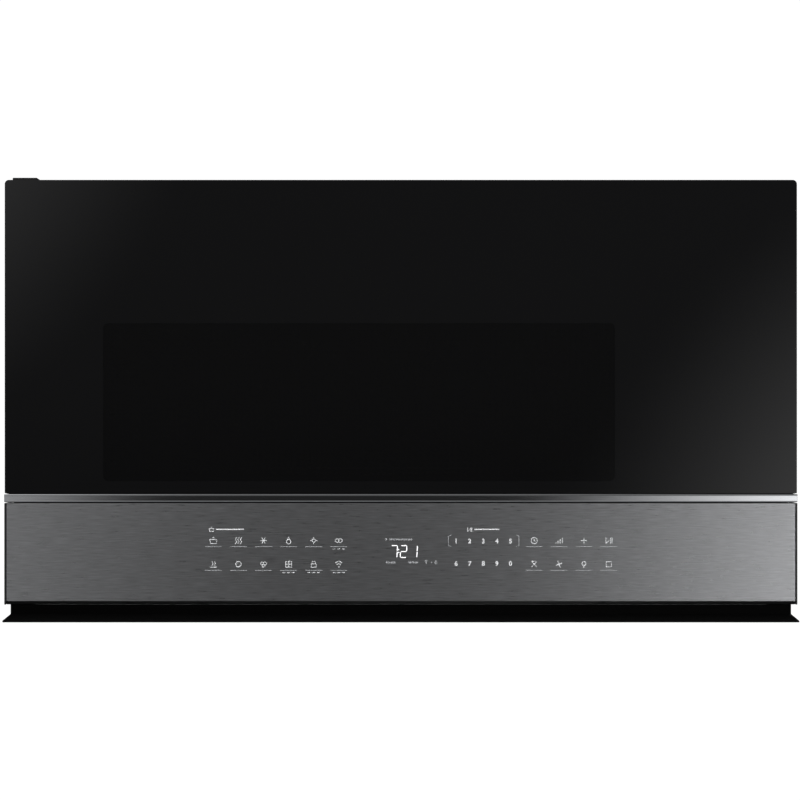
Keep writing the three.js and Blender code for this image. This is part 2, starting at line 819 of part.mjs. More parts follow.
function roller() {
  const half = rollerWidth / 2;
  return turned(
    [
      [rollerBore, -half],
      [rollerRadius - rollerChamfer, -half],
      [rollerRadius, rollerChamfer - half],
      [rollerRadius, half - rollerChamfer],
      [rollerRadius - rollerChamfer, half],
      [rollerBore, half],
      [rollerBore, -half],
    ],
    pinSides,
  );
}

piece(turntable, "turntable_motor", turntableMotor(), finishes.galvanised);
piece(turntable, "drive_coupler", driveCoupler(), finishes.whitePlastic);
piece(turntable, "glass_tray", glassTray(), finishes.clearGlass);
piece(turntable, "roller_ring", rollerRing(), finishes.whitePlastic);
for (let i = 0; i < rollerCount; i++) {
  const arm = group(turntable);
  arm.rotation.z = (i * 2 * Math.PI) / rollerCount;
  const wheel = piece(arm, "roller_" + (i + 1), roller(), finishes.whitePlastic);
  wheel.position.set(rollerTrack, 0, rollerRadius);
  wheel.rotation.y = Math.PI / 2;
}

// ---------------------------------------------------------------- microwave power

const guideLeft = cavityRight + sheet + gap;
const guideRight = guideLeft + waveguideSize[0];
const guideY = about(waveguideY, waveguideSize[1]);
const guideZ = [waveguideTop - waveguideSize[2], waveguideTop];
const magnetronLeft = guideRight + gap;
const magnetronHeight = waveguideTop - magnetronSize[2] / 2 - magnetronDrop;
const antennaHole = antennaRadius + antennaClearance;

function waveguide() {
  const shell = block([guideLeft, guideRight], guideY, guideZ);
  const hollow = block([guideLeft - past, guideRight - sheet], inset(guideY, sheet), inset(guideZ, sheet));
  const centre = [waveguideY, magnetronHeight];
  const port = rod("x", antennaHole, through([guideRight - sheet, guideRight]), centre, pinSides);
  return cut(shell, [hollow, port]);
}

const yokeX = [magnetronLeft, magnetronLeft + magnetronSize[0]];

function magnetronYoke() {
  const yokeY = about(waveguideY, magnetronSize[1]);
  const yokeZ = about(magnetronHeight, magnetronSize[2]);
  const shell = block(yokeX, yokeY, yokeZ);
  const tunnel = block(inset(yokeX, magnetronWall), through(yokeY), inset(yokeZ, magnetronWall));
  const bore = rod("x", antennaHole, through(yokeX), [waveguideY, magnetronHeight], pinSides);
  return cut(shell, [tunnel, bore]);
}

// The core is the anode with its cooling fins, the antenna and the filter box.
function magnetronCore() {
  const centre = [waveguideY, magnetronHeight];
  const [first, last] = inset(yokeX, magnetronWall + gap);
  const finY = about(waveguideY, magnetronSize[1] - 2 * finInset);
  const finZ = about(magnetronHeight, magnetronSize[2] - 2 * magnetronWall - 2 * gap);
  const pitch = (last - first - finThickness) / (finCount - 1);
  const fins = [];
  for (let i = 0; i < finCount; i++) {
    const x = first + i * pitch;
    fins.push(block([x, x + finThickness], finY, finZ));
  }
  const boxLeft = yokeX[1] + gap;
  const boxX = [boxLeft, boxLeft + filterBoxSize[0]];
  return joined([
    rod("x", anodeRadius, [first, last], centre),
    rod("x", antennaRadius, [first - antennaLength, boxLeft + past], centre, pinSides),
    block(boxX, about(waveguideY, filterBoxSize[1]), about(magnetronHeight, filterBoxSize[2])),
    ...fins,
  ]);
}

const plenumTop = plenumHeight + sheet + gap;
const transformerX = [cavityRight + compartmentMargin, cavityRight + transformerEnd];
const transformerY = insideFront + transformerMargin + transformerSize[1] / 2;
const transformerMiddle = (transformerX[0] + transformerX[1]) / 2;
const transformerZ = [plenumTop, plenumTop + transformerSize[2]];
const windowSide = transformerSize[0] / 2 - transformerLeg; // core window's outer edge from the middle

// Laminations with two windows, one each side of the centre leg.
function transformerCore() {
  const depth = about(transformerY, transformerSize[1]);
  const high = inset(transformerZ, transformerLeg);
  const windows = [-1, 1].map((way) => {
    const ends = between(transformerMiddle + way * transformerLeg, transformerMiddle + way * windowSide);
    return block(ends, through(depth), high);
  });
  return cut(block(transformerX, depth, transformerZ), windows);
}

function transformerWinding() {
  const high = inset(transformerZ, transformerLeg + gap);
  const outerX = about(transformerMiddle, 2 * (windowSide - gap));
  const outerY = about(transformerY, transformerSize[1] + 2 * windingProud);
  const innerX = about(transformerMiddle, 2 * (transformerLeg + gap));
  const innerY = about(transformerY, transformerSize[1] + 2 * gap);
  return cut(block(outerX, outerY, high), [block(innerX, innerY, through(high))]);
}

const capacitorX = insideSide - capacitorMargin - capacitorRadius;

// An oval can with two terminals, and the diode that is fixed beside it.
function capacitor() {
  const ends = about(transformerY, capacitorLength - 2 * capacitorRadius);
  const outline = [
    ...arc([capacitorX, ends[1]], capacitorRadius, [0, 180]),
    ...arc([capacitorX, ends[0]], capacitorRadius, [180, 360]),
  ];
  const top = plenumTop + capacitorHeight;
  const can = prism("z", outline, [plenumTop, top]);
  const [terminalWidth, terminalDepth, terminalHeight] = terminalSize;
  const terminals = ends.map((y) =>
    block(about(capacitorX, terminalWidth), about(y, terminalDepth), [top - past, top + terminalHeight]),
  );
  const diodeY = ends[1] + capacitorRadius + diodeLength;
  const strapZ = [plenumTop, plenumTop + strapSize[1]];
  const strap = block(about(capacitorX, strapSize[0]), [ends[1], diodeY], strapZ);
  const diode = rod("z", diodeRadius, [plenumTop, plenumTop + diodeLength], [capacitorX, diodeY], pinSides);
  return joined([can, ...terminals, strap, diode]);
}

const filterBoardX = insideSide - filterBoardInset;
const filterBoardTop = insideTop - filterBoardDrop;

// The mains filter board stands off the rear panel, with a choke coil and two capacitors.
function noiseFilterBoard() {
  const back = insideBack - filterPostLength;
  const front = back - boardThickness;
  const x = about(filterBoardX, filterBoardSize[0]);
  const z = [filterBoardTop - filterBoardSize[1], filterBoardTop];
  const middle = (z[0] + z[1]) / 2;
  const posts = [];
  for (const px of inset(x, boardPostInset)) {
    for (const pz of inset(z, boardPostInset)) {
      posts.push(rod("y", boardPostRadius, [front, insideBack], [px, pz], postSides));
    }
  }
  const coilPlace = [filterBoardX - chokeCoilOffset, middle];
  const coil = rod("y", chokeCoilRadius, [front - chokeCoilHeight, front + past], coilPlace);
  const [blockWidth, blockDepth, blockHeight] = filterBlockSize;
  const blocks = filterBlockPlaces.map((place) => {
    const blockX = about(filterBoardX + place, blockWidth);
    return block(blockX, [front - blockDepth, front + past], about(middle, blockHeight));
  });
  return joined([block(x, [front, back], z), coil, ...posts, ...blocks]);
}

piece(power, "waveguide", waveguide(), finishes.galvanised);
piece(power, "magnetron_yoke", magnetronYoke(), finishes.galvanised);
piece(power, "magnetron_core", magnetronCore(), finishes.copper);
piece(power, "transformer_core", transformerCore(), finishes.laminations);
piece(power, "transformer_winding", transformerWinding(), finishes.copper);
piece(power, "capacitor", capacitor(), finishes.galvanised);
piece(power, "noise_filter_board", noiseFilterBoard(), finishes.board);

// ---------------------------------------------------------------- cooling fan

const fanX = insideSide - fanInset;
const fanY = [insideBack - fanFrameDepth, insideBack];
const fanHalf = fanFrameDepth / 2;
const fanBore = fanFrameSize / 2 - fanFrameEdge;
const fanRotorY = [-fanHalf + fanSetback, fanHalf - fanMotorLength - gap];

function coolingFanFrame() {
  const frameY = about(0, fanFrameDepth);
  const frame = block(about(0, fanFrameSize), frameY, about(0, fanFrameSize));
  const bore = rod("y", fanBore, through(frameY), [0, 0]);
  const spokeX = through([-fanBore, fanBore]);
  const spokes = [];
  for (let i = 0; i < fanSpokeCount; i++) {
    const spoke = block(spokeX, [fanHalf - fanSpokeDepth, fanHalf], about(0, fanSpokeWidth));
    spokes.push(spoke.rotate([0, (i * 180) / fanSpokeCount, 0]));
  }
  const motor = rod("y", fanHubRadius, [fanHalf - fanMotorLength, fanHalf], [0, 0]);
  const axle = rod("y", fanAxleRadius, [fanRotorY[0] + fanHubCap + gap, fanHalf - past], [0, 0], pinSides);
  return joined([cut(frame, [bore]), ...spokes, motor, axle]);
}

function coolingFanRotor() {
  const [front, back] = fanRotorY;
  const hub = rod("y", fanHubRadius, fanRotorY, [0, 0]);
  const chord = (back - front) * fanBladeSpan;
  const blades = [];
  for (let i = 0; i < fanBladeCount; i++) {
    const span = [fanHubRadius - fanBladeRoot, fanBore - fanTipClearance];
    const flat = block(span, about(0, fanBladeThickness), about(0, chord));
    const pitched = flat.rotate([90 - fanBladePitch, 0, 0]).translate([0, (front + back) / 2, 0]);
    blades.push(pitched.rotate([0, (i * 360) / fanBladeCount, 0]));
  }
  const bore = rod("y", fanAxleRadius + gap, [front + fanHubCap, back + past], [0, 0], pinSides);
  return cut(joined([hub, ...blades]), [bore]);
}

const fanHeight = filterBoardTop - filterBoardSize[1] - fanSpace - fanFrameSize / 2;
const fan = group(power, fanX, (fanY[0] + fanY[1]) / 2, fanHeight);
piece(fan, "cooling_fan_frame", coolingFanFrame(), finishes.blackPlastic);
piece(fan, "cooling_fan_rotor", coolingFanRotor(), finishes.blackPlastic);

// ---------------------------------------------------------------- ventilation

const blowerHeight = blowerFloor + scrollRadius;
const wheelRadius = scrollRadius - scrollWall - wheelClearance;
const scrollOuter = scrollInner + scrollWidth;

// A round casing with an inlet in each end, open at the top of its front half. Built about its own shaft.
function scroll(way) {
  const ends = between(way * scrollInner, way * scrollOuter);
  const inside = inset(ends, scrollWall);
  return cut(
    joined([
      rod("x", scrollRadius, ends, [0, 0]),
      block(ends, [-scrollRadius, 0], [0, scrollRadius]),
    ]),
    [
      rod("x", scrollRadius - scrollWall, inside, [0, 0]),
      block(inside, [scrollWall - scrollRadius, -scrollWall], [0, scrollRadius + past]),
      rod("x", scrollInlet, through(ends), [0, 0]),
    ],
  );
}

// Both wheels on the motor's one shaft: a hub plate, blades and an end ring each.
function blowerRotor() {
  const shaftX = inset([-scrollOuter, scrollOuter], shaftInset);
  const solids = [rod("x", shaftRadius, shaftX, [0, 0], pinSides)];
  const [first, last] = inset([scrollInner, scrollOuter], scrollWall + wheelEndClearance);
  const bladeZ = [wheelRadius - wheelRing + wheelBladeInset, wheelRadius - wheelBladeInset];
  for (const way of [-1, 1]) {
    const ring = between(way * (last - wheelPlate), way * last);
    solids.push(
      rod("x", wheelRadius, between(way * first, way * (first + wheelPlate)), [0, 0], wheelSides),
      rod("x", wheelHubRadius, between(way * first, way * (first + wheelHubLength)), [0, 0], pinSides),
      cut(rod("x", wheelRadius, ring, [0, 0], wheelSides), [
        rod("x", wheelRadius - wheelRing, through(ring), [0, 0], wheelSides),
      ]),
    );
    const bladeX = inset(between(way * first, way * last), wheelBladeInset);
    for (let i = 0; i < wheelBladeCount; i++) {
      const blade = block(bladeX, about(0, wheelBlade), bladeZ);
      solids.push(blade.rotate([(i * 360) / wheelBladeCount, 0, 0]));
    }
  }
  return joined(solids);
}

function blowerMotor() {
  const length = about(0, blowerMotorLength);
  const [strapWidth, strapThickness] = motorStrap;
  const strapZ = [-scrollRadius, strapThickness - scrollRadius];
  return cut(
    joined([
      rod("x", blowerMotorRadius, length, [0, 0]),
      block(about(0, motorFoot), about(0, motorFoot), [-scrollRadius, 0]),
      block(about(0, 2 * (scrollInner - gap)), about(0, strapWidth), strapZ),
    ]),
    [rod("x", shaftRadius + 2 * gap, through(length), [0, 0], pinSides)],
  );
}

const blower = group(ventilation, 0, blowerY, blowerHeight);
piece(blower, "blower_scroll_left", scroll(-1), finishes.galvanised);
piece(blower, "blower_scroll_right", scroll(1), finishes.galvanised);
piece(blower, "blower_motor", blowerMotor(), finishes.laminations);
piece(blower, "blower_rotor", blowerRotor(), finishes.blackPlastic);

const flapHingeY = exhaustY[1] - damperClearance;
const flapHeight = (damperZ[0] + damperZ[1]) / 2;
const flapSide = exhaustSize[0] / 2 - damperClearance;

function damperFrame() {
  const outside = block(inset(exhaustX, -damperFrameWall), inset(exhaustY, -damperFrameWall), damperZ);
  const ring = cut(outside, [block(exhaustX, exhaustY, through(damperZ))]);
  const ledgeZ = [damperZ[0], flapHeight - damperThickness / 2 - gap];
  const ledge = block(exhaustX, [exhaustY[0], exhaustY[0] + damperLedge], ledgeZ);
  const boreEnd = exhaustSize[0] / 2 + damperPinLength;
  const bores = [-1, 1].map((way) => {
    const ends = between(way * (flapSide - past), way * boreEnd);
    return rod("x", damperPinRadius + gap, ends, [flapHingeY, flapHeight], pinSides);
  });
  return cut(joined([ring, ledge]), bores);
}

function damperFlap() {
  const flapY = [exhaustY[0] + damperClearance, flapHingeY];
  const pinX = about(0, exhaustSize[0] + 2 * (damperPinLength - gap));
  return joined([
    block([-flapSide, flapSide], flapY, about(flapHeight, damperThickness)),
    rod("x", damperPinRadius, pinX, [flapHingeY, flapHeight], pinSides),
  ]);
}

piece(ventilation, "damper_frame", damperFrame(), finishes.galvanised);
piece(ventilation, "damper_flap", damperFlap(), finishes.galvanised);

const grilleZ = [caseTop - grilleThickness, caseTop];

function ventGrille() {
  const pitch = (grilleX[1] - grilleX[0] - grilleRib) / grilleSlots;
  const slots = [];
  for (let i = 0; i < grilleSlots; i++) {
    const left = grilleX[0] + grilleRib + i * pitch;
    slots.push(block([left, left + pitch - grilleRib], inset(grilleY, grilleRib), through(grilleZ)));
  }
  return cut(block(grilleX, grilleY, grilleZ), slots);
}

function charcoalFilter() {
  return block(grilleX, grilleY, [grilleZ[0] - gap - charcoalHeight, grilleZ[0] - gap]);
}

piece(ventilation, "vent_grille", ventGrille(), finishes.blackPlastic);
piece(ventilation, "charcoal_filter", charcoalFilter(), finishes.charcoal);

function greaseFilter(x) {
  const low = panTop + gap;
  return block(about(x, greaseFilterSize[0]), [greaseFront, greaseBack], [low, low + greaseFilterSize[2]]);
}

// The lens fills its hole in the base pan, and the lamp body sits over it.
function cooktopLamp(x) {
  const [length, width] = lampLensSize;
  const margin = 2 * lampBodyMargin;
  const low = panTop + gap;
  return joined([
    block(about(x, length), about(lampY, width), [panelBottom, panTop + lampThickness]),
    block(about(x, length + margin), about(lampY, width + margin), [low, low + lampBodyHeight]),
  ]);
}

for (const [side, way] of [["left", -1], ["right", 1]]) {
  piece(ventilation, "grease_filter_" + side, greaseFilter(way * greaseFilterX), finishes.filterMesh);
  piece(ventilation, "cooktop_lamp_" + side, cooktopLamp(way * lampX), finishes.whitePlastic);
}

// ---------------------------------------------------------------- control panel

const capSide = doorSide + panelOverhang;
const fasciaSide = capSide - panelEndCap - gap;
const faceBottom = panelBottom + panelBevel;
const housingFront = glassFront + panelSkin + gap;
const housingBack = caseFront - gap;
const housingZ = [panTop + gap, panelTop - panelSkin - gap];

// One folded skin: a bevel below, the face, and a flange turned back along the top.
function panelFascia() {
  const front = glassFront;
  const bevelBack = front + panelBevel;
  const innerBend = faceBottom + panelSkin * Math.tan(Math.PI / 8);
  const section = [
    [bevelBack, panelBottom],
    [bevelBack + panelSkin, panelBottom],
    [front + panelSkin, innerBend],
    [front + panelSkin, panelTop - panelSkin],
    [front + panelFlange, panelTop - panelSkin],
    [front + panelFlange, panelTop],
    [front, panelTop],
    [front, faceBottom],
  ];
  return prism("x", section, [-fasciaSide, fasciaSide]);
}

const displayHeight = panelBottom + displayRise;
const boardFront = housingFront + housingWall + gap + displaySize[1] + gap;
const boardX = about(displayX, boardLength);
const boardZ = inset(housingZ, boardMargin);

function panelHousing() {
  const section = [
    [housingBack, housingZ[0]],
    [housingBack, housingZ[1]],
    [housingFront, housingZ[1]],
    [housingFront, housingZ[0] + housingLift],
    [housingFront + housingLift, housingZ[0]],
  ];
  const insideX = inset([-fasciaSide, fasciaSide], housingWall);
  const [floor, ceiling] = inset(housingZ, housingWall);
  const wallBack = housingFront + housingWall;
  const viewX = about(displayX, displaySize[0] - 2 * displayLap);
  const viewZ = about(displayHeight, displaySize[2] - 2 * displayLap);
  const posts = [];
  for (const x of inset(boardX, boardPostInset)) {
    for (const z of inset(boardZ, boardPostInset)) {
      posts.push(rod("y", boardPostRadius, [housingFront + past, boardFront - gap], [x, z], postSides));
    }
  }
  const shell = cut(prism("x", section, [-fasciaSide, fasciaSide]), [
    block(insideX, [wallBack + housingLift, housingBack + past], [floor, ceiling]),
    block(insideX, [wallBack, wallBack + housingLift + past], [floor + housingLift, ceiling]),
    block(viewX, through([housingFront, wallBack]), viewZ),
  ]);
  return joined([shell, ...posts]);
}

function displayModule() {
  const [length, depth, height] = displaySize;
  const front = housingFront + housingWall + gap;
  return block(about(displayX, length), [front, front + depth], about(displayHeight, height));
}

function controlBoard() {
  const back = boardFront + boardThickness;
  const [relayWidth, relayDepth, relayHeight] = relaySize;
  const relayZ = about((boardZ[0] + boardZ[1]) / 2, relayHeight);
  const relays = relayPlaces.map((x) =>
    block(about(displayX + x, relayWidth), [back - past, back + relayDepth], relayZ),
  );
  return joined([block(boardX, [boardFront, back], boardZ), ...relays]);
}

piece(controls, "panel_fascia", panelFascia(), finishes.brushedSteel);
piece(controls, "panel_housing", panelHousing(), finishes.blackPlastic);
for (const [side, way] of [["left", -1], ["right", 1]]) {
  const ends = between(way * (capSide - panelEndCap), way * capSide);
  const cap = block(ends, [glassFront, housingBack], [panelBottom, panelTop]);
  piece(controls, "panel_end_" + side, cap, finishes.blackPlastic);
}
piece(controls, "display_module", displayModule(), finishes.blackGlass);
piece(controls, "control_board", controlBoard(), finishes.board);

// ---------------------------------------------------------------- door interlock

const interlockX = latchX + interlockOffset;
const interlockZ = inset(latchHeights, -interlockOverrun);
const switchFront = insideFront + interlockWall + switchSetback;
const switchBack = switchFront + switchSize[1];

function interlockBracket() {
  const flangeX = [interlockX, interlockX + interlockFlange];
  const webX = [interlockX, interlockX + interlockWall];
  return joined([
    block(flangeX, [insideFront, insideFront + interlockWall], interlockZ),
    block(webX, [insideFront, switchBack + switchSetback], interlockZ),
  ]);
}

function doorSwitch(z) {
  const left = interlockX + interlockWall + gap;
  const plungerX = about(left + switchSize[0] / 2, plungerWidth);
  return joined([
    block([left, left + switchSize[0]], [switchFront, switchBack], about(z, switchSize[2])),
    block(plungerX, [switchFront - plungerReach, switchFront + past], about(z, plungerWidth)),
  ]);
}

piece(controls, "interlock_bracket", interlockBracket(), finishes.whitePlastic);
piece(controls, "door_switch_lower", doorSwitch(latchHeights[0]), finishes.blackPlastic);
piece(controls, "door_switch_upper", doorSwitch(latchHeights[1]), finishes.blackPlastic);

// ---------------------------------------------------------------- door

const frameFront = glassBack + gap;
const frameSide = doorSide - doorFrameInset;
const frameBottom = stripBottom;
const stripBack = frameFront + stripDepth;
const frameTop = doorTop - gap;
const frameInnerX = [-doorSide + hingeStile, frameSide - frameWall];
const frameInnerZ = [glassBottom + frameSill, frameTop - frameWall];

function doorGlass() {
  const arcSide = doorSide - glassCornerRadius;
  const arcHeight = doorTop - glassCornerRadius;
  const outline = [
    [-doorSide, glassBottom],
    [doorSide, glassBottom],
    ...arc([arcSide, arcHeight], glassCornerRadius, [0, 90]),
    ...arc([-arcSide, arcHeight], glassCornerRadius, [90, 180]),
  ];
  return prism("y", outline, [glassFront, glassBack]);
}

const bracketTop = panelTop + 2 * gap + hingePlate;
const hingeSlotRight = tabRight + hingeSlotMargin;

// The frame's back edge is cut away on the hinge side, so that it clears the case as the door swings.
function doorFrame() {
  const outline = [
    [-frameSide, frameFront],
    [frameSide, frameFront],
    [frameSide, doorBack],
    [hingeX, doorBack],
    [-frameSide, doorBack - (hingeX + frameSide)],
  ];
  const boreRadius = hingePinRadius + 2 * gap;
  const boreLength = hingePinLength + hingeBoreEnd;
  const depth = through([frameFront, doorBack]);
  const low = frameBottom - past;
  const gripFront = frameFront + gripSetback;
  const gripZ = inset([stripTop, frameTop], gripEndMargin);
  return cut(prism("z", outline, [frameBottom, frameTop]), [
    block(frameInnerX, depth, frameInnerZ),
    rod("z", boreRadius, [doorTop - boreLength, doorTop + past], [hingeX, hingeY], pinSides),
    rod("z", boreRadius, [low, bracketTop + boreLength], [hingeX, hingeY], pinSides),
    block([-frameSide - past, hingeSlotRight], depth, [low, bracketTop + gap]),
    block(through([-frameSide, frameSide]), [frameFront - past, stripBack], [low, stripTop + gap]),
    block([frameSide - gripDepth, frameSide + past], [gripFront, gripFront + gripWidth], gripZ),
  ]);
}

// A bright bar across the door's foot, with bevelled edges and room behind it at the lower hinge.
function doorTrimStrip() {
  const front = glassFront - stripProud;
  const back = stripBack - gap;
  const section = [
    [front + stripBevel, stripBottom],
    [back, stripBottom],
    [back, stripTop],
    [front + stripBevel, stripTop],
    [front, stripTop - stripBevel],
    [front, stripBottom + stripBevel],
  ];
  const barSide = doorSide + stripOverhang;
  const bar = prism("x", section, [-barSide, barSide]);
  const sweepX = [-barSide - past, hingeSlotRight];
  const sweep = block(sweepX, [hingeY - hingeSweep, back + past], through([stripBottom, stripTop]));
  return cut(bar, [sweep]);
}

const chokeX = inset(frameInnerX, gap);
const chokeZ = inset(frameInnerZ, gap);
const chokeBack = doorBack - backCoverThickness - gap;
const chokeFront = chokeBack - chokeDepth;
const windowX = [windowLeft, windowRight];
const windowZ = [windowBottom, windowTop];

function doorChoke() {
  return cut(block(chokeX, [chokeFront, chokeBack], chokeZ), [
    block(inset(chokeX, sheet), [chokeFront + sheet, chokeBack + past], inset(chokeZ, sheet)),
    block(windowX, [chokeFront - past, chokeBack], windowZ),
  ]);
}

function doorScreen() {
  const back = chokeFront - gap;
  return block(inset(windowX, -screenLap), [back - screenThickness, back], inset(windowZ, -screenLap));
}

// The inner glass lies flush in the back cover's window.
function doorInnerGlass() {
  return block(inset(windowX, gap), [doorBack - innerGlassThickness, doorBack], inset(windowZ, gap));
}

const barX = about(latchX, latchBarWidth);
const barY = [chokeBack - latchBarThickness, chokeBack];
const barZ = inset(latchHeights, -latchBarOverrun);
const springFoot = barZ[1] + gap;

function doorBackCover() {
  const coverY = [doorBack - backCoverThickness, doorBack];
  const slotX = about(latchX, latchHookWidth + 2 * latchCoverSide);
  const slots = latchHeights.map((z) => {
    const slotZ = [z - latchHookHeight / 2 - gap, z + latchHookHeight / 2 + latchLift + latchSlotEnd];
    return block(slotX, through(coverY), slotZ);
  });
  const stopFoot = springFoot + springLength + gap;
  const stop = block(barX, [barY[0], doorBack - backCoverThickness / 2], [stopFoot, stopFoot + springStop]);
  const plate = cut(block(chokeX, coverY, chokeZ), [block(windowX, through(coverY), windowZ), ...slots]);
  return joined([plate, stop]);
}

// Two hooks on one bar that slides up in the door as the door is pulled open or pushed shut.
function latchBar() {
  const root = barY[0] + latchHookRoot;
  const tip = insideFront + latchHookReach;
  const half = latchHookHeight / 2;
  const hooks = latchHeights.map((z) => {
    const section = [
      [root, z - half],
      [tip - latchNose, z - half],
      [tip - latchNose, z - half - latchBarb],
      [tip, z],
      [tip, z + half],
      [root, z + half],
    ];
    return prism("x", section, about(latchX, latchHookWidth));
  });
  return joined([block(barX, barY, barZ), ...hooks]);
}

function latchSpring() {
  const middle = [latchX, (barY[0] + barY[1]) / 2];
  return rod("z", springRadius, [springFoot, springFoot + springLength], middle, pinSides);
}

piece(door, "door_glass", doorGlass(), finishes.blackGlass);
piece(door, "door_frame", doorFrame(), finishes.blackPlastic);
piece(door, "door_trim_strip", doorTrimStrip(), finishes.brightTrim);
piece(door, "door_choke", doorChoke(), finishes.galvanised);
piece(door, "door_screen", doorScreen(), finishes.blackPaint);
piece(door, "door_inner_glass", doorInnerGlass(), finishes.clearGlass);
piece(door, "door_back_cover", doorBackCover(), finishes.blackPlastic);
piece(door, "latch_bar", latchBar(), finishes.whitePlastic);
piece(door, "latch_spring", latchSpring(), finishes.galvanised);

export default unit;
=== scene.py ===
"""The looks of an over-the-range microwave oven, in metres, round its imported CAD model.

+Z is up, -Y is the front and +X is the viewer's right. The origin is the middle of the wall plate's back.
"""
import json
import math
import random

import bmesh
import bpy
from mathutils import Matrix, Vector

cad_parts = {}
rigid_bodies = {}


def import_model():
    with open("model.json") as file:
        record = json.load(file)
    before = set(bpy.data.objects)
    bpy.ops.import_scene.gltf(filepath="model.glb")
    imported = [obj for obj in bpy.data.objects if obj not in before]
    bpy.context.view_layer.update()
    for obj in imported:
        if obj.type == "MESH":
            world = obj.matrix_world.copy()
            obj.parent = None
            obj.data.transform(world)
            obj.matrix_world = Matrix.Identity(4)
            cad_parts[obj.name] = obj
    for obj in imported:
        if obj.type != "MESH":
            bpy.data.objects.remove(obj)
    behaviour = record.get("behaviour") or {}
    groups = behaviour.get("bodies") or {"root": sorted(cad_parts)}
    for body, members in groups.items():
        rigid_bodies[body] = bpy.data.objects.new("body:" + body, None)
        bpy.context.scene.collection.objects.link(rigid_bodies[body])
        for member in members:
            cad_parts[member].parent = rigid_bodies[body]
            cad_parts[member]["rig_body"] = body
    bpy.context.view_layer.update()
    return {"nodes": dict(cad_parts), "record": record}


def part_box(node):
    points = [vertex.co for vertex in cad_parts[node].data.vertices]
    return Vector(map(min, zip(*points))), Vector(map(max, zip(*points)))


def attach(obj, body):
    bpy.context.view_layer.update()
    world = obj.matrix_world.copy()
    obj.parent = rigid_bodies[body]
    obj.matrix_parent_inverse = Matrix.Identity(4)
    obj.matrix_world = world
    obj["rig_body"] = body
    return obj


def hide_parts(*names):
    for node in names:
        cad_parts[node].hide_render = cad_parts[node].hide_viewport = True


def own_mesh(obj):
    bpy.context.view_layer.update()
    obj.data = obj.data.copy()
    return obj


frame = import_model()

random.seed(7)

# ---------------------------------------------------------------- sizes

UNDERSIDE = -0.2  # the unit's underside below the origin
GLASS_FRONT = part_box("door_glass")[0].y

CAMERA_DISTANCE = 2.4  # camera to the door glass
CAMERA_X = -0.0008
CAMERA_Z = 0.013
VIEW_WIDTH = 0.7664  # what the picture takes in at the door glass
VIEW_END = 200
SENSOR = 36

FLOOR_DROP = 3.0  # floor below the unit's underside
FLOOR_SIZE = 60
FLOOR_GLOW = 0.75
FLOOR_LEVEL = 0.9  # its grey and its roughness

EDGE = 0.0005  # rounding of a folded or moulded edge
SMOOTH_ANGLE = math.radians(35)
WELD_REACH = 2e-6  # points nearer than this are one
FLAT_ANGLE = 0.01  # faces that meet at less than this are one
SIDES = ("left", "right")

UP, DOWN = (0, 0, 1), (0, 0, -1)
FORWARD, BACKWARD = (0, -1, 0), (0, 1, 0)
LEFTWARD, RIGHTWARD = (-1, 0, 0), (1, 0, 0)


class Box:
    """The box round a CAD node: its low and high corners, its middle and half its size."""

    def __init__(self, node):
        self.low, self.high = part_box(node)
        self.middle = (self.low + self.high) / 2
        self.half = (self.high - self.low) / 2


# ---------------------------------------------------------------- camera, lights and floor

WHITE = (1, 1, 1, 1)
SEEN_STRENGTH = 1.05  # the white that the camera sees
SKY_FOOT, SKY_TOP = 0.02, 0.5  # grey of the light from straight below and above
SKY_LEVELS = ((0.42, 0.02), (0.5, 0.115), (0.62, 0.13))  # height from 0 below to 1 above, and grey
MIDDLE = (0, -0.2, 0)  # of the unit, where most lamps aim
CARDS = (  # name, centre, size, strength, and how fast each fades towards its edges
    ("card_upper_left", (-2.1, -6.4, 1.42), (3.0, 3.3), 1.65, 1.4),
    ("card_lower_left", (-1.7, -6.4, -1.5), (1.8, 2.2), 0.9, 1.4),
    ("card_lower_right", (2.55, -6.4, -1.1), (4.35, 4.4), 5.2, 1.7),
    ("card_behind", (0.6, 5.0, 1.0), (7.0, 6.0), 1.6, 1.0),
)
LAMPS = (  # name, place, what each aims at, size and power
    ("lamp_above", (0, -0.9, 2.4), MIDDLE, (2.4, 1.6), 60),
    ("lamp_left", (-2.6, -1.2, 1.0), MIDDLE, (1.6, 1.6), 55),
    ("lamp_right", (2.6, -1.6, 0.8), MIDDLE, (1.6, 1.6), 55),
    ("lamp_behind", (0.8, 2.6, 1.4), (0, 0, 0), (2.0, 1.6), 40),
    ("lamp_below", (0, -0.9, -1.8), MIDDLE, (1.8, 1.4), 22),
)


def grey(level):
    return (level, level, level, 1)


def fresh_tree(owner):
    """The emptied node tree of a world or a material."""
    owner.use_nodes = True
    owner.node_tree.nodes.clear()
    return owner.node_tree


def new_node(tree, kind, **inputs):
    """A shader node of a kind, with some of its inputs set."""
    node = tree.nodes.new("ShaderNode" + kind)
    for name, value in inputs.items():
        node.inputs[name.replace("_", " ")].default_value = value
    return node


def wire(tree, *links):
    """Joins sockets, each link as node, output, node, input."""
    for start, output, end, socket in links:
        tree.links.new(start.outputs[output], end.inputs[socket])


def make_camera():
    camera = bpy.data.objects.new("camera", bpy.data.cameras.new("camera"))
    bpy.context.scene.collection.objects.link(camera)
    camera.location = (CAMERA_X, GLASS_FRONT - CAMERA_DISTANCE, CAMERA_Z)
    camera.rotation_euler = (math.pi / 2, 0, 0)
    camera.data.sensor_width = SENSOR
    camera.data.lens = SENSOR * CAMERA_DISTANCE / VIEW_WIDTH
    camera.data.clip_end = VIEW_END
    bpy.context.scene.camera = camera


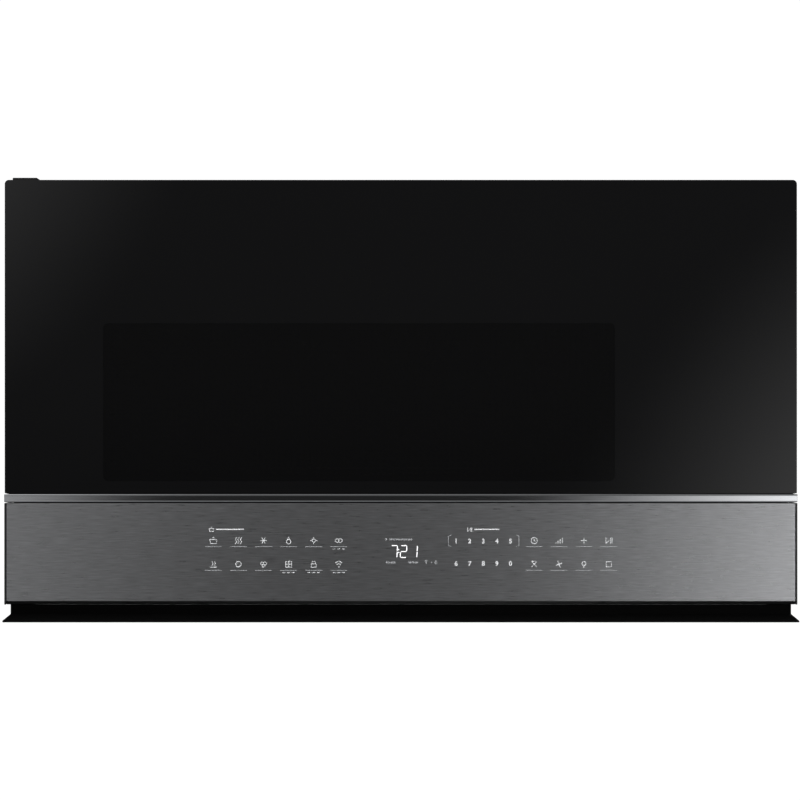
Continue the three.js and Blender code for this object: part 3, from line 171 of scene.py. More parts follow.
def make_world():
    """White to the camera. What lights the unit is dark below, grey level with it and brighter above."""
    world = bpy.data.worlds.new("studio")
    bpy.context.scene.world = world
    tree = fresh_tree(world)
    out = new_node(tree, "OutputWorld")
    seen = new_node(tree, "Background", Color=WHITE, Strength=SEEN_STRENGTH)
    lighting = new_node(tree, "Background")
    mix = new_node(tree, "MixShader")
    rays = new_node(tree, "LightPath")
    place = new_node(tree, "TexCoord")
    split = new_node(tree, "SeparateXYZ")
    shift = new_node(tree, "MapRange", From_Min=-1)
    ramp = new_node(tree, "ValToRGB")
    stops = ramp.color_ramp.elements
    stops[0].color, stops[1].color = grey(SKY_FOOT), grey(SKY_TOP)
    for height, level in SKY_LEVELS:
        stops.new(height).color = grey(level)
    wire(
        tree,
        (place, "Generated", split, "Vector"),
        (split, "Z", shift, "Value"),
        (shift, "Result", ramp, "Fac"),
        (ramp, "Color", lighting, "Color"),
        (rays, "Is Camera Ray", mix, "Fac"),
        (lighting, "Background", mix, 1),
        (seen, "Background", mix, 2),
        (mix, "Shader", out, "Surface"),
    )


def make_card(name, centre, size, strength, fade):
    """A soft glowing card, upright, brightest in its middle and fading to nothing at its edges."""
    bpy.ops.mesh.primitive_plane_add(size=1, location=centre)
    card = bpy.context.object
    card.name = name
    card.scale = (*size, 1)
    card.rotation_euler = (math.pi / 2, 0, 0)
    card.visible_camera = False
    look = bpy.data.materials.new(name)
    tree = fresh_tree(look)
    out = new_node(tree, "OutputMaterial")
    glow = new_node(tree, "Emission")
    clear = new_node(tree, "BsdfTransparent")
    add = new_node(tree, "AddShader")
    place = new_node(tree, "TexCoord")
    mapping = new_node(tree, "Mapping", Scale=(2, 2, 2))
    gradient = new_node(tree, "TexGradient")
    gradient.gradient_type = "SPHERICAL"
    power = new_node(tree, "Math")
    power.operation = "POWER"
    power.inputs[1].default_value = fade
    gain = new_node(tree, "Math")
    gain.operation = "MULTIPLY"
    gain.inputs[1].default_value = strength
    wire(
        tree,
        (place, "Object", mapping, "Vector"),
        (mapping, "Vector", gradient, "Vector"),
        (gradient, "Fac", power, 0),
        (power, "Value", gain, 0),
        (gain, "Value", glow, "Strength"),
        (glow, "Emission", add, 0),
        (clear, "BSDF", add, 1),
        (add, "Shader", out, "Surface"),
    )
    card.data.materials.append(look)


def make_lamp(name, place, aim, size, power):
    light = bpy.data.lights.new(name, "AREA")
    light.shape = "RECTANGLE"
    light.size, light.size_y = size
    light.energy = power
    lamp = bpy.data.objects.new(name, light)
    bpy.context.scene.collection.objects.link(lamp)
    lamp.location = place
    lamp.rotation_euler = (Vector(aim) - Vector(place)).to_track_quat("-Z", "Y").to_euler()
    lamp.visible_glossy = False


def make_floor():
    bpy.ops.mesh.primitive_plane_add(size=FLOOR_SIZE, location=(0, 0, UNDERSIDE - FLOOR_DROP))
    floor = bpy.context.object
    floor.name = "floor"
    look = bpy.data.materials.new("floor")
    look.use_nodes = True
    inputs = look.node_tree.nodes["Principled BSDF"].inputs
    inputs["Base Color"].default_value = grey(FLOOR_LEVEL)
    inputs["Roughness"].default_value = FLOOR_LEVEL
    inputs["Emission Color"].default_value = WHITE
    inputs["Emission Strength"].default_value = FLOOR_GLOW
    floor.data.materials.append(look)
    floor.visible_glossy = False
    floor.visible_diffuse = False


def make_studio():
    make_camera()
    make_world()
    for card in CARDS:
        make_card(*card)
    for lamp in LAMPS:
        make_lamp(*lamp)
    make_floor()
    bpy.context.scene.view_settings.view_transform = "Standard"


# ---------------------------------------------------------------- materials

LINES = (1, 1, 15)  # stretch of brushed metal's noise into short thin lines along X
SHEETS = (1, 45, 1)  # and of a stack of thin sheets across Y
LAYERS = (1, 1, 3.6)
NOISE_DETAIL = 4
RELIEF = 0.0002  # height that the bump stands for
QUARTER_TURN = 0.25

looks = {}


def surface(
    name, colour, roughness, metallic=0,
    grain=300, stretch=(1, 1, 1), shade=0.1, uneven=0.05, bump=0.1, **more
):
    """A look whose colour, roughness and height follow one noise, of so many repeats per metre."""
    look = bpy.data.materials.new(name)
    look.use_nodes = True
    tree = look.node_tree
    shader = tree.nodes["Principled BSDF"]
    for socket, value in {"Metallic": metallic, **more}.items():
        shader.inputs[socket.replace("_", " ")].default_value = value
    place = new_node(tree, "TexCoord")
    mapping = new_node(tree, "Mapping", Scale=[grain * share for share in stretch])
    noise = new_node(tree, "TexNoise", Scale=1, Detail=NOISE_DETAIL)
    tint = new_node(tree, "Mix")
    tint.data_type = "RGBA"
    tint.inputs["A"].default_value = (*[level * (1 - shade) for level in colour], 1)
    tint.inputs["B"].default_value = (*[min(1, level * (1 + shade)) for level in colour], 1)
    rough = new_node(tree, "MapRange", To_Min=max(0, roughness - uneven), To_Max=roughness + uneven)
    height = new_node(tree, "Bump", Strength=bump, Distance=RELIEF)
    wire(
        tree,
        (place, "Object", mapping, "Vector"),
        (mapping, "Vector", noise, "Vector"),
        (noise, "Fac", tint, "Factor"),
        (noise, "Fac", rough, "Value"),
        (noise, "Fac", height, "Height"),
        (tint, "Result", shader, "Base Color"),
        (rough, "Result", shader, "Roughness"),
        (height, "Normal", shader, "Normal"),
    )
    looks[name] = look


def brush(name, amount):
    """Stretches a metal's highlights across its horizontal brush lines."""
    tree = looks[name].node_tree
    shader = tree.nodes["Principled BSDF"]
    shader.inputs["Anisotropic"].default_value = amount
    shader.inputs["Anisotropic Rotation"].default_value = QUARTER_TURN
    tangent = new_node(tree, "Tangent")
    tangent.direction_type = "RADIAL"
    tangent.axis = "Z"
    wire(tree, (tangent, "Tangent", shader, "Tangent"))


# Glass
surface("black_glass", (0.0015, 0.0015, 0.0018), 0.05, grain=14, uneven=0.02, bump=0)
surface("window", (0.001, 0.001, 0.0012), 0.05, grain=14, uneven=0.02, bump=0, Alpha=0.7)
surface("inner_window", (0.03, 0.035, 0.035), 0.04, grain=20, bump=0, Alpha=0.22)
surface("clear_glass", (0.62, 0.70, 0.70), 0.03, grain=20, bump=0, Alpha=0.28)

# Paint, print and enamel
surface("black_paint", (0.008, 0.008, 0.0085), 0.42, grain=1100, shade=0.25, bump=0.35)
# The skirt's paint is the black paint made darker and duller: painted shade for the underside's flare and
# its recessed neck.
surface("painted_shade_skirt", (0.001,) * 3, 0.6, grain=1100, shade=0.25, bump=0.3, Specular_IOR_Level=0.05)
surface("enamel", (0.36, 0.35, 0.33), 0.22, grain=500, shade=0.12, bump=0.08, Coat_Weight=0.3)
surface("ink", (0.80, 0.81, 0.82), 0.5, grain=900, shade=0.05, bump=0.05)
surface("grey_ink", (0.40, 0.41, 0.42), 0.5, grain=900, shade=0.05, bump=0.05)
surface("lit", (0.80, 0.81, 0.82), 0.5, Emission_Color=WHITE, Emission_Strength=0.75)

# Metal
surface("brushed_steel", (0.52, 0.525, 0.54), 0.3, 1, 60, LINES, 0.38, 0.08, 0.35)
surface("bright_trim", (0.62, 0.63, 0.65), 0.09, 1, 60, LINES, 0.05, 0.03, 0.05)
surface("galvanised", (0.50, 0.51, 0.52), 0.42, 0.8, grain=70, shade=0.22, uneven=0.12)
surface("steel", (0.55, 0.55, 0.56), 0.3, 1, grain=900, shade=0.12, uneven=0.08, bump=0.08)
surface("screw", (0.35, 0.355, 0.36), 0.3, 1, grain=900, shade=0.15, uneven=0.08)
surface("copper", (0.60, 0.24, 0.10), 0.28, 1, grain=250, shade=0.2, uneven=0.08, bump=0.05)
surface("gold", (0.70, 0.45, 0.12), 0.25, 1, grain=900, uneven=0.08, bump=0.05)
surface("laminations", (0.16, 0.165, 0.17), 0.5, 0.8, 40, SHEETS, 0.4, 0.1, 0.5)
surface("filter_mesh", (0.62, 0.63, 0.64), 0.33, 0.75, shade=0.15, uneven=0.1)
brush("brushed_steel", 0.75)
brush("bright_trim", 0.3)

# Plastic and rubber
surface("black_gloss", (0.008, 0.008, 0.009), 0.12, grain=60, uneven=0.04, bump=0.02)
surface("black_plastic", (0.012, 0.012, 0.013), 0.42, grain=1600, shade=0.2, bump=0.3)
surface("white_plastic", (0.72, 0.71, 0.67), 0.4, grain=1400, shade=0.04, bump=0.15)
surface("lamp_lens", (0.85, 0.87, 0.88), 0.35, grain=900, shade=0.03, bump=0.2, Alpha=0.75)
surface("rubber", (0.010,) * 3, 0.75, grain=700, shade=0.2, bump=0.3)
surface("yellow", (0.55, 0.40, 0.05), 0.4, grain=500)
surface("blue", (0.02, 0.06, 0.22), 0.35, grain=500)

# The rest
surface("board", (0.015, 0.10, 0.045), 0.35, grain=160, shade=0.25, Coat_Weight=0.5)
surface("mica", (0.42, 0.34, 0.24), 0.45, grain=220, shade=0.3)
surface("charcoal", (0.010,) * 3, 0.9, grain=450, shade=0.6, bump=1)
surface("ceramic", (0.70, 0.68, 0.64), 0.35, grain=400, shade=0.08)
surface("pink_ceramic", (0.60, 0.28, 0.22), 0.4, grain=400)
surface("paper", (0.42, 0.26, 0.10), 0.7, 0, 250, LAYERS, 0.25, bump=0.3)
surface("magnet", (0.03, 0.03, 0.032), 0.5, grain=900, shade=0.3, bump=0.3)


# ---------------------------------------------------------------- shapes

# A shape is a skin over rings of points, as (rings, closed). A piece is made of a list of shapes.

# Where a flat outline's two coordinates and its depth go, by the axis of the depth.
ORDER = {"x": (1, 2, 0), "y": (0, 2, 1), "z": (0, 1, 2)}
FILLET_STEPS = 4
# Steps round a wire, a rivet, a small turned part and a larger one.
WIRE_STEPS, RIVET_STEPS, ROUND_STEPS, DRUM_STEPS = 6, 12, 24, 40
SCREW_STEPS = 16
SCREW_ARMS = 4
SCREW_HEAD = ((1, 0), (1, 0.3), (0.85, 0.5), (0.55, 0.6))  # shares of its radius: radius and height
CROSS = (0.45, (0.6, 0.25), 0.38)  # and of its recess: reach, heights, and pinch between the arms


def loft(rings, place=Matrix.Identity(4), closed=False):
    """Rings joined with quads. The ends are capped, or joined where the loft is closed."""
    return [[place @ Vector(point) for point in ring] for ring in rings], closed


def add_loft(bm, rings, closed):
    """Adds a shape to a mesh under construction."""
    rows = [[bm.verts.new(point) for point in ring] for ring in rings]
    pairs = list(zip(rows, rows[1:]))
    if closed:
        pairs.append((rows[-1], rows[0]))
    for a, b in pairs:
        for i in range(len(a)):
            j = (i + 1) % len(a)
            bm.faces.new((a[i], a[j], b[j], b[i]))
    if not closed:
        bm.faces.new(rows[0][::-1])
        bm.faces.new(rows[-1])


def joined(shapes):
    """Several shapes in one mesh under construction."""
    bm = bmesh.new()
    for rings, closed in shapes:
        add_loft(bm, rings, closed)
    return bm


def finished(bm, name):
    """The finished mesh, with its faces turned outwards."""
    bmesh.ops.recalc_face_normals(bm, faces=bm.faces)
    mesh = bpy.data.meshes.new(name)
    bm.to_mesh(mesh)
    bm.free()
    return mesh


def circle(radius, height, steps):
    """Points about Z."""
    turns = [2 * math.pi * i / steps for i in range(steps)]
    return [(radius * math.cos(turn), radius * math.sin(turn), height) for turn in turns]


def arc(centre, radius, start, sweep, steps):
    """Points on an arc in a plane, with its start and sweep in degrees."""
    turns = [math.radians(start + sweep * i / steps) for i in range(steps + 1)]
    return [(centre[0] + radius * math.cos(turn), centre[1] + radius * math.sin(turn)) for turn in turns]


def pointing(place, direction):
    """The matrix that turns +Z to a direction and moves to a place."""
    turn = Vector(direction).to_track_quat("Z", "Y").to_matrix().to_4x4()
    return Matrix.Translation(place) @ turn


def tube(points, radius, steps=8, closed=False):
    """A round tube along points."""
    points = [Vector(point) for point in points]
    last = len(points) - 1
    rings = []
    side = None
    for i, point in enumerate(points):
        before = points[i - 1] if i or closed else point
        after = points[(i + 1) % len(points)] if i < last or closed else point
        along = (after - before).normalized()
        side = side or along.orthogonal().normalized()
        side = (side - along * side.dot(along)).normalized()
        up = along.cross(side)
        rings.append([point + (side * u + up * v) * radius for u, v, _ in circle(1, 0, steps)])
    return loft(rings, closed=closed)


def filleted(outline, radius, steps=FILLET_STEPS):
    """A closed outline with each of its corners rounded."""
    points = []
    for i, corner in enumerate(outline):
        corner = Vector(corner)
        before = Vector(outline[i - 1]) - corner
        after = Vector(outline[(i + 1) % len(outline)]) - corner
        start = corner + before.normalized() * min(radius, before.length / 2)
        end = corner + after.normalized() * min(radius, after.length / 2)
        for k in range(steps + 1):
            t = k / steps
            points.append(tuple(start * (1 - t) ** 2 + corner * 2 * t * (1 - t) + end * t * t))
    return points


def rectangle(low, high):
    """A flat outline between two corners."""
    return [(low[0], low[1]), (high[0], low[1]), (high[0], high[1]), (low[0], high[1])]


def corners(low, high, across, up):
    """The corners of a rectangle drawn in by an amount across and another up."""
    return rectangle((low[0] + across, low[1] + up), (high[0] - across, high[1] - up))


def at_depth(outline, depth, axis):
    """A flat outline in space, at a depth along an axis."""
    ring = []
    for u, v in outline:
        point = Vector()
        for index, value in zip(ORDER[axis], (u, v, depth)):
            point[index] = value
        ring.append(point)
    return ring


def prism(outline, axis, low, high):
    """A flat outline pushed along an axis."""
    return loft([at_depth(outline, depth, axis) for depth in (low, high)])


def block(low, high):
    """A plain block between two corners."""
    return prism(rectangle(low, high), "z", low[2], high[2])


def soft_rectangle(low, high, inset, depth, corner, axis):
    """A ring of a rectangle with rounded corners, drawn in by an inset."""
    return at_depth(filleted(corners(low, high, inset, inset), corner), depth, axis)


def surround(low, high, section, axis, corner):
    """A rounded rectangle swept by a closed section of (inset, depth) points."""
    rings = []
    for inset, depth in section:
        rings.append(soft_rectangle(low, high, inset, depth, max(corner - inset, EDGE), axis))
    return loft(rings, closed=True)


def pad(low, high, corner, edge, axis="z"):
    """A block with rounded corners round an axis and softened edges along it."""
    low = [low[i] for i in ORDER[axis]]
    high = [high[i] for i in ORDER[axis]]
    levels = ((edge, low[2]), (0, low[2] + edge), (0, high[2] - edge), (edge, high[2]))
    return loft([soft_rectangle(low, high, inset, depth, corner, axis) for inset, depth in levels])


def pads(middles, size, corner, edge, axis="z"):
    """The same soft block round several middles."""
    half = Vector(size) / 2
    return [pad(Vector(middle) - half, Vector(middle) + half, corner, edge, axis) for middle in middles]


def lathe(profile, place, steps=32, closed=False):
    """A profile of (radius, height) points turned about the Z axis of a place."""
    return loft([circle(radius, height, steps) for radius, height in profile], place, closed)


def studs(places, direction, profile, steps=16):
    """The same turned shape standing on several places."""
    return [lathe(profile, pointing(place, direction), steps) for place in places]


def holes(places, direction, radius, depth, steps):
    """Plain rods, to cut round holes with."""
    return studs(places, direction, ((radius, 0), (radius, depth)), steps)


def screw(place, direction, radius):
    """A pan head with a cross recess."""
    reach, heights, pinch = CROSS
    rings = [circle(radius * share, radius * rise, SCREW_STEPS) for share, rise in SCREW_HEAD]
    for height in heights:
        ring = []
        for i, (x, y, z) in enumerate(circle(radius * reach, radius * height, SCREW_STEPS)):
            share = pinch if i % (SCREW_STEPS // SCREW_ARMS) else 1
            ring.append((x * share, y * share, z))
        rings.append(ring)
    return loft(rings, pointing(place, direction))


def strands(low, high, angle, pitch, z, radius):
    """Parallel wires at an angle, clipped to a rectangle."""
    along = Vector((math.cos(angle), math.sin(angle)))
    across = Vector((-along.y, along.x))
    middle = (Vector(low) + Vector(high)) / 2
    half = (Vector(high) - Vector(low)) / 2
    reach = int(half.length / pitch)
    wires = []
    for i in range(-reach, reach + 1):
        start = across * i * pitch
        spans = [sorted(((way * half[k] - start[k]) / along[k] for way in (-1, 1))) for k in (0, 1)]
        enter = max(span[0] for span in spans)
        leave = min(span[1] for span in spans)
        if leave - enter > pitch / 4:
            ends = (middle + start + along * enter, middle + start + along * leave)
            wires.append(tube([(*end, z) for end in ends], radius, 4))
    return wires


def bored(mesh, shapes):
    """A mesh with shapes cut out of it."""
    body = bpy.data.objects.new("bored", mesh)
    tool = bpy.data.objects.new("tool", finished(joined(shapes), "tool"))
    for obj in (body, tool):
        bpy.context.scene.collection.objects.link(obj)
    boolean = body.modifiers.new("bore", "BOOLEAN")
    boolean.operation = "DIFFERENCE"
    boolean.object = tool
    boolean.solver = "EXACT"
    result = bpy.data.meshes.new_from_object(body.evaluated_get(bpy.context.evaluated_depsgraph_get()))
    for obj in (body, tool):
        bpy.data.objects.remove(obj)
    return result


def cad_mesh(node):
    """A CAD node's mesh with its flat faces made whole."""
    bm = bmesh.new()
    bm.from_mesh(frame["nodes"][node].data)
    bmesh.ops.remove_doubles(bm, verts=bm.verts, dist=WELD_REACH)
    bmesh.ops.dissolve_limit(bm, angle_limit=FLAT_ANGLE, verts=bm.verts, edges=bm.edges)
    return finished(bm, node + "_shape")


# ---------------------------------------------------------------- pieces

EDGES = {  # rounding of the pieces that keep their CAD shape, where it isn't the usual one
    0.0003: (
        "wall_plate", "rear_panel", "front_frame", "base_pan", "plenum_plate", "oven_cavity",
        "damper_flap", "hinge_bracket_top", "hinge_bracket_bottom",
    ),
    0.0004: (
        "panel_fascia", "panel_end_left", "panel_end_right", "door_choke", "base_skirt",
        "transformer_core", "blower_scroll_left", "blower_scroll_right", "damper_frame",
    ),
    0.0006: (
        "door_frame", "door_back_cover", "latch_bar", "cord_gland", "blower_motor", "vent_grille",
        "door_switch_lower", "door_switch_upper",
    ),
    0.0008: ("turntable_motor", "waveguide", "magnetron_yoke", "cooling_fan_frame", "panel_housing"),
    0.0009: ("drive_coupler",),
    0.001: ("case_wrap",),
}
# base_skirt takes the darkened black paint, which is painted shade under the unit.
OWN_LOOKS = {"base_skirt": "painted_shade_skirt", "door_inner_glass": "inner_window"}
SCREW = 0.0026  # usual radius of a screw's head

edge_of = {node: edge for edge, nodes in EDGES.items() for node in nodes}
slot_of = {row["node"]: row["material_slot"] for row in frame["record"]["subparts"]}
body_of = {node: obj["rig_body"] for node, obj in frame["nodes"].items()}


def add_piece(name, mesh, look, node, edge=0.0, instead=False):
    """Puts a mesh in the scene as a piece on a CAD node's body, with the node or instead of it."""
    obj = bpy.data.objects.new(name, mesh)
    bpy.context.scene.collection.objects.link(obj)
    mesh.shade_smooth()
    mesh.set_sharp_from_angle(angle=SMOOTH_ANGLE)
    if not mesh.materials:
        mesh.materials.append(looks[look])
    if edge:
        bevel = obj.modifiers.new("edges", "BEVEL")
        bevel.width = edge
        bevel.segments = 2
        bevel.limit_method = "ANGLE"
        bevel.angle_limit = SMOOTH_ANGLE
        bevel.harden_normals = True
    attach(obj, body_of[node])
    if instead:
        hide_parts(node)
    return obj


def dress(node, cuts=None):
    """A piece in a CAD node's place, with rounded edges and its finish, and cut where asked."""
    mesh = bored(cad_mesh(node), cuts) if cuts else cad_mesh(node)
    look = OWN_LOOKS.get(node, slot_of[node])
    add_piece(node + "_shell", mesh, look, node, edge_of.get(node, EDGE), instead=True)


def detail(name, look, node, shapes, edge=0.0, instead=False):
    """A piece made of shapes."""
    return add_piece(name, finished(joined(shapes), name), look, node, edge, instead)


def screws(name, node, places, direction, radius=SCREW):
    """A piece made of screws."""
    detail(name, "screw", node, [screw(place, direction, radius) for place in places])


# ---------------------------------------------------------------- door glass

WINDOW_CORNER = 0.005
WINDOW_STEPS = 6
PANE_EDGE = 0.0006
FACING = 0.9  # least share of a face's normal along Y for it to count as front or back


def door_glass():
    """One pane: opaque round the window, and tinted but clear in it."""
    bm = bmesh.new()
    bm.from_mesh(cad_mesh("door_glass"))
    low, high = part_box("door_inner_glass")
    centres = corners(low.xz, high.xz, WINDOW_CORNER, WINDOW_CORNER)
    outline = []
    for corner, start in zip(centres, (180, 270, 0, 90)):
        outline += arc(corner, WINDOW_CORNER, start, 90, WINDOW_STEPS)
    for side in (-1, 1):
        face = max(bm.faces, key=lambda f: f.calc_area() * (f.normal.y * side > FACING))
        y = face.calc_center_median().y
        border = list(face.edges)
        bm.faces.remove(face)
        loop = [bm.verts.new((x, y, z)) for x, z in outline]
        window = bm.faces.new(loop if side < 0 else loop[::-1])
        window.material_index = 1
        bmesh.ops.triangle_fill(bm, edges=border + list(window.edges), use_beauty=True)
    mesh = finished(bm, "door_glass_pane")
    mesh.materials.append(looks["black_glass"])
    mesh.materials.append(looks["window"])
    add_piece("door_glass_pane", mesh, None, "door_glass", PANE_EDGE, instead=True)


# ---------------------------------------------------------------- control panel legends

STROKE = 0.00032  # half a printed line's width
RULE_STROKE = 0.00026
STROKE_SIDES = 6
RING_STEPS = 20
KEY_RULE = 0.016
KEY_ROWS = (-0.1275, -0.1502)  # underlines of the two rows of keys
LEFT_KEYS = (-0.1796, 0.02403, 6)  # first key, pitch and count
RIGHT_KEYS = (0.1277, 0.02383, 4)
SIGN_SIZE = 0.0035  # half a sign's width
SIGN_RISE = 0.0058  # middle of a sign above its underline
HELD_DASHES = (-0.0045, 0.0, 0.0045)  # dashes under a key that has a second function
HELD_HALF = 0.0013
HELD_DROP = 0.0022

HEADINGS = ((-0.1838, -0.1503, "pot"), (0.0634, 0.0945, "start"))  # left and right ends, and sign
HEADING_Z = -0.111
HEADING_SIGN = (0.0025, 0.0024)  # a heading's sign: its place from the left end, and half its width
HEADING_RULE = (0.007, 0.0005)  # its rule: start from the left end, and half its width
BRACKETS = ((0.0456, 1), (0.1131, -1))  # brackets round the upper row of numbers, and the way they open
BRACKET_Z = (-0.1275, -0.1164)
BRACKET_REACH = 0.0026
BRACKET_CORNER = 0.001

NUMBERS_X = (0.0530, 0.0130)  # first number and pitch
NUMBERS_Z = (-0.1221, -0.1436)
NUMBER_ROW = 5
NUMBER_HEIGHT = 0.0043
CAPITAL = 0.7  # a number's height over its font's size
NUMBER_WEIGHT = 0.00015
NUMBER_STEPS = 4

DISPLAY_Z = (-0.1379, -0.1265)
DISPLAY_CELLS = (-0.0096, -0.0006, 0.0095)  # left edges of the display's three figures
CELL_WIDTH = 0.0058
DISPLAY_LEAN = 0.05
DISPLAY_STROKE = 0.00044
DISPLAY_BARS = {  # ends of a seven-bar figure's bars, over its width and half its height
    "top": ((0, 2), (1, 2)),
    "upper_right": ((1, 1), (1, 2)),
    "middle": ((0, 1), (1, 1)),
    "lower_left": ((0, 0), (0, 1)),
    "lower_right": ((1, 0), (1, 1)),
    "bottom": ((0, 0), (1, 0)),
}
DISPLAY_FIGURES = (
    ("top", "upper_right", "lower_right"),
    ("top", "upper_right", "middle", "lower_left", "bottom"),
    ("upper_right", "lower_right"),
)
COLON = (-0.0021, (-0.1331, -0.1303), 0.0003, 8)  # x, heights, radius and steps
DISPLAY_MARKS = ((-0.0113, 0.0109, -0.1206), (-0.0145, -0.0049, -0.1426), (0.0068, 0.0164, -0.1426))
MARK_PITCH = 0.0016
MARK_HALF = 0.0011
DISPLAY_SIGNS = (  # sign, x, z and half its width
    ("lamp", -0.0140, -0.1206, 0.0012),
    ("waves", 0.0243, -0.1422, 0.0019),
    ("plus", 0.0294, -0.1426, 0.0008),
    ("lock", 0.0337, -0.1425, 0.0017),
)


def box_line(left, foot, right, top):
    """A closed line round a rectangle."""
    return [(left, foot), (right, foot), (right, top), (left, top), (left, foot)]


def repeated(line, *shifts):
    """Copies of a line, each moved aside by a shift."""
    return [[(x + shift, z) for x, z in line] for shift in shifts]


def mirrored(*lines):
    """Lines and their copies turned by half a turn."""
    return [*lines, *[[(-x, -z) for x, z in line] for line in lines]]


# Each key's sign, drawn on a square from -1 to 1: its rings as (x, z, radius), and its lines.
SIGNS = {
    "pot": ([], [[(-1, 0.3), (-0.8, -0.8), (0.8, -0.8), (1, 0.3), (-1, 0.3)], [(-0.3, 0.8), (0.3, 0.8)]]),
    "heat": ([], repeated([(-0.2, -0.9), (0.2, -0.3), (-0.2, 0.3), (0.2, 0.9)], -0.7, 0, 0.7)),
    "frost": ([], [[(-0.9, 0), (0.9, 0)], [(-0.45, -0.8), (0.45, 0.8)], [(-0.45, 0.8), (0.45, -0.8)]]),
    "drop": ([(0, -0.3, 0.6)], [[(-0.45, 0.1), (0, 1), (0.45, 0.1)]]),
    "gear": ([(0, 0, 0.45)], mirrored([(0, 0.6), (0, 1)], [(0.6, 0), (1, 0)])),
    "link": ([(-0.45, 0, 0.5), (0.45, 0, 0.5)], []),
    "steam": ([], [[(-0.9, -0.8), (0.9, -0.8)], *repeated([(0, -0.4), (0.3, 0.2), (0, 0.8)], -0.4, 0.3)]),
    "oval": ([(0, 0, 0.75)], [[(-0.2, 0.2), (-0.1, 0.1)], [(0.2, -0.1), (0.3, -0.2)]]),
    "cluster": ([(-0.4, 0.2, 0.4), (0.4, 0.2, 0.4), (0, -0.4, 0.4)], []),
    "grid": ([], [box_line(-0.8, -0.8, 0.8, 0.8), [(-0.8, 0), (0.8, 0)], [(0, -0.8), (0, 0.8)]]),
    "lock": ([], [box_line(-0.7, -0.8, 0.7, 0.1), [(-0.4, 0.1), (-0.4, 0.8), (0.4, 0.8), (0.4, 0.1)]]),
    "waves": (
        [(0, -0.7, 0.12)],
        [[(-0.5, -0.1), (0, 0.2), (0.5, -0.1)], [(-0.9, 0.4), (0, 0.9), (0.9, 0.4)]],
    ),
    "clock": ([(0, 0, 0.85)], [[(0, 0.5), (0, 0), (0.4, -0.2)]]),
    "level": ([], [[(x, -0.8), (x, -0.4 + 0.4 * i)] for i, x in enumerate((-0.9, -0.3, 0.3, 0.9))]),
    "plus": ([], [[(-0.8, 0), (0.8, 0)], [(0, -0.8), (0, 0.8)]]),
    "start": (
        [],
        [[(-0.8, -0.8), (0.1, 0), (-0.8, 0.8), (-0.8, -0.8)], *repeated([(0, -0.8), (0, 0.8)], 0.5, 0.9)],
    ),
    "hourglass": ([], [[(-0.7, 0.8), (0.7, 0.8), (-0.7, -0.8), (0.7, -0.8), (-0.7, 0.8)]]),
    "fan": ([(0, 0, 0.2)], mirrored([(0.2, 0), (0.9, 0.4)], [(0, 0.2), (-0.4, 0.9)])),
    "lamp": ([(0, 0.2, 0.55)], [[(-0.25, -0.5), (0.25, -0.5)], [(-0.2, -0.8), (0.2, -0.8)]]),
    "stop": ([], [box_line(-0.7, -0.7, 0.7, 0.7)]),
}
LEFT_SIGNS = (
    ("pot", "heat", "frost", "drop", "gear", "link"),
    ("steam", "oval", "cluster", "grid", "lock", "waves"),
)
RIGHT_SIGNS = (("clock", "level", "plus", "start"), ("hourglass", "fan", "lamp", "stop"))
HELD_KEYS = ((5,), (3, 4, 5))  # left keys with a second function


def panel_line(points, radius=STROKE):
    """A printed line on the panel's face, through (x, z) points."""
    return tube([(x, GLASS_FRONT, z) for x, z in points], radius, STROKE_SIDES)


def panel_ring(x, z, radius, steps=RING_STEPS):
    points = [(x + u, GLASS_FRONT, z + v) for u, v, _ in circle(radius, 0, steps)]
    return tube(points, STROKE, STROKE_SIDES, closed=True)


def panel_sign(name, x, z, size=SIGN_SIZE):
    rings, lines = SIGNS[name]
    shapes = [panel_ring(x + u * size, z + v * size, radius * size) for u, v, radius in rings]
    return shapes + [panel_line([(x + u * size, z + v * size) for u, v in points]) for points in lines]


def key_legends(side, keys, signs, held=((), ())):
    """The signs and underlines of a block of touch keys, with dashes under the held ones."""
    first, pitch, count = keys
    prints, rules = [], []
    for z, row_signs, row_held in zip(KEY_ROWS, signs, held):
        for i in range(count):
            x = first + i * pitch
            rules.append(panel_line([(x - KEY_RULE / 2, z), (x + KEY_RULE / 2, z)], RULE_STROKE))
            prints += panel_sign(row_signs[i], x, z + SIGN_RISE)
            for dash in HELD_DASHES if i in row_held else ():
                ends = [(x + dash + way * HELD_HALF, z - HELD_DROP) for way in (-1, 1)]
                prints.append(panel_line(ends))
    detail(side + "_keys_signs", "ink", "panel_fascia", prints)
    detail(side + "_keys_rules", "grey_ink", "panel_fascia", rules)


def headings():
    """A sign and a rule over each block of keys, and the brackets round the upper row of numbers."""
    shapes = []
    for left, right, sign in HEADINGS:
        shapes += panel_sign(sign, left + HEADING_SIGN[0], HEADING_Z, HEADING_SIGN[1])
        shapes.append(panel_line([(left + HEADING_RULE[0], HEADING_Z), (right, HEADING_Z)], HEADING_RULE[1]))
    detail("panel_headings", "ink", "panel_fascia", shapes)
    low, high = BRACKET_Z
    shapes = []
    for x, way in BRACKETS:
        tip = x + way * BRACKET_REACH
        points = [(tip, high), (x, high - BRACKET_CORNER), (x, low + BRACKET_CORNER), (tip, low)]
        shapes.append(panel_line(points, RULE_STROKE))
    detail("number_brackets", "grey_ink", "panel_fascia", shapes)


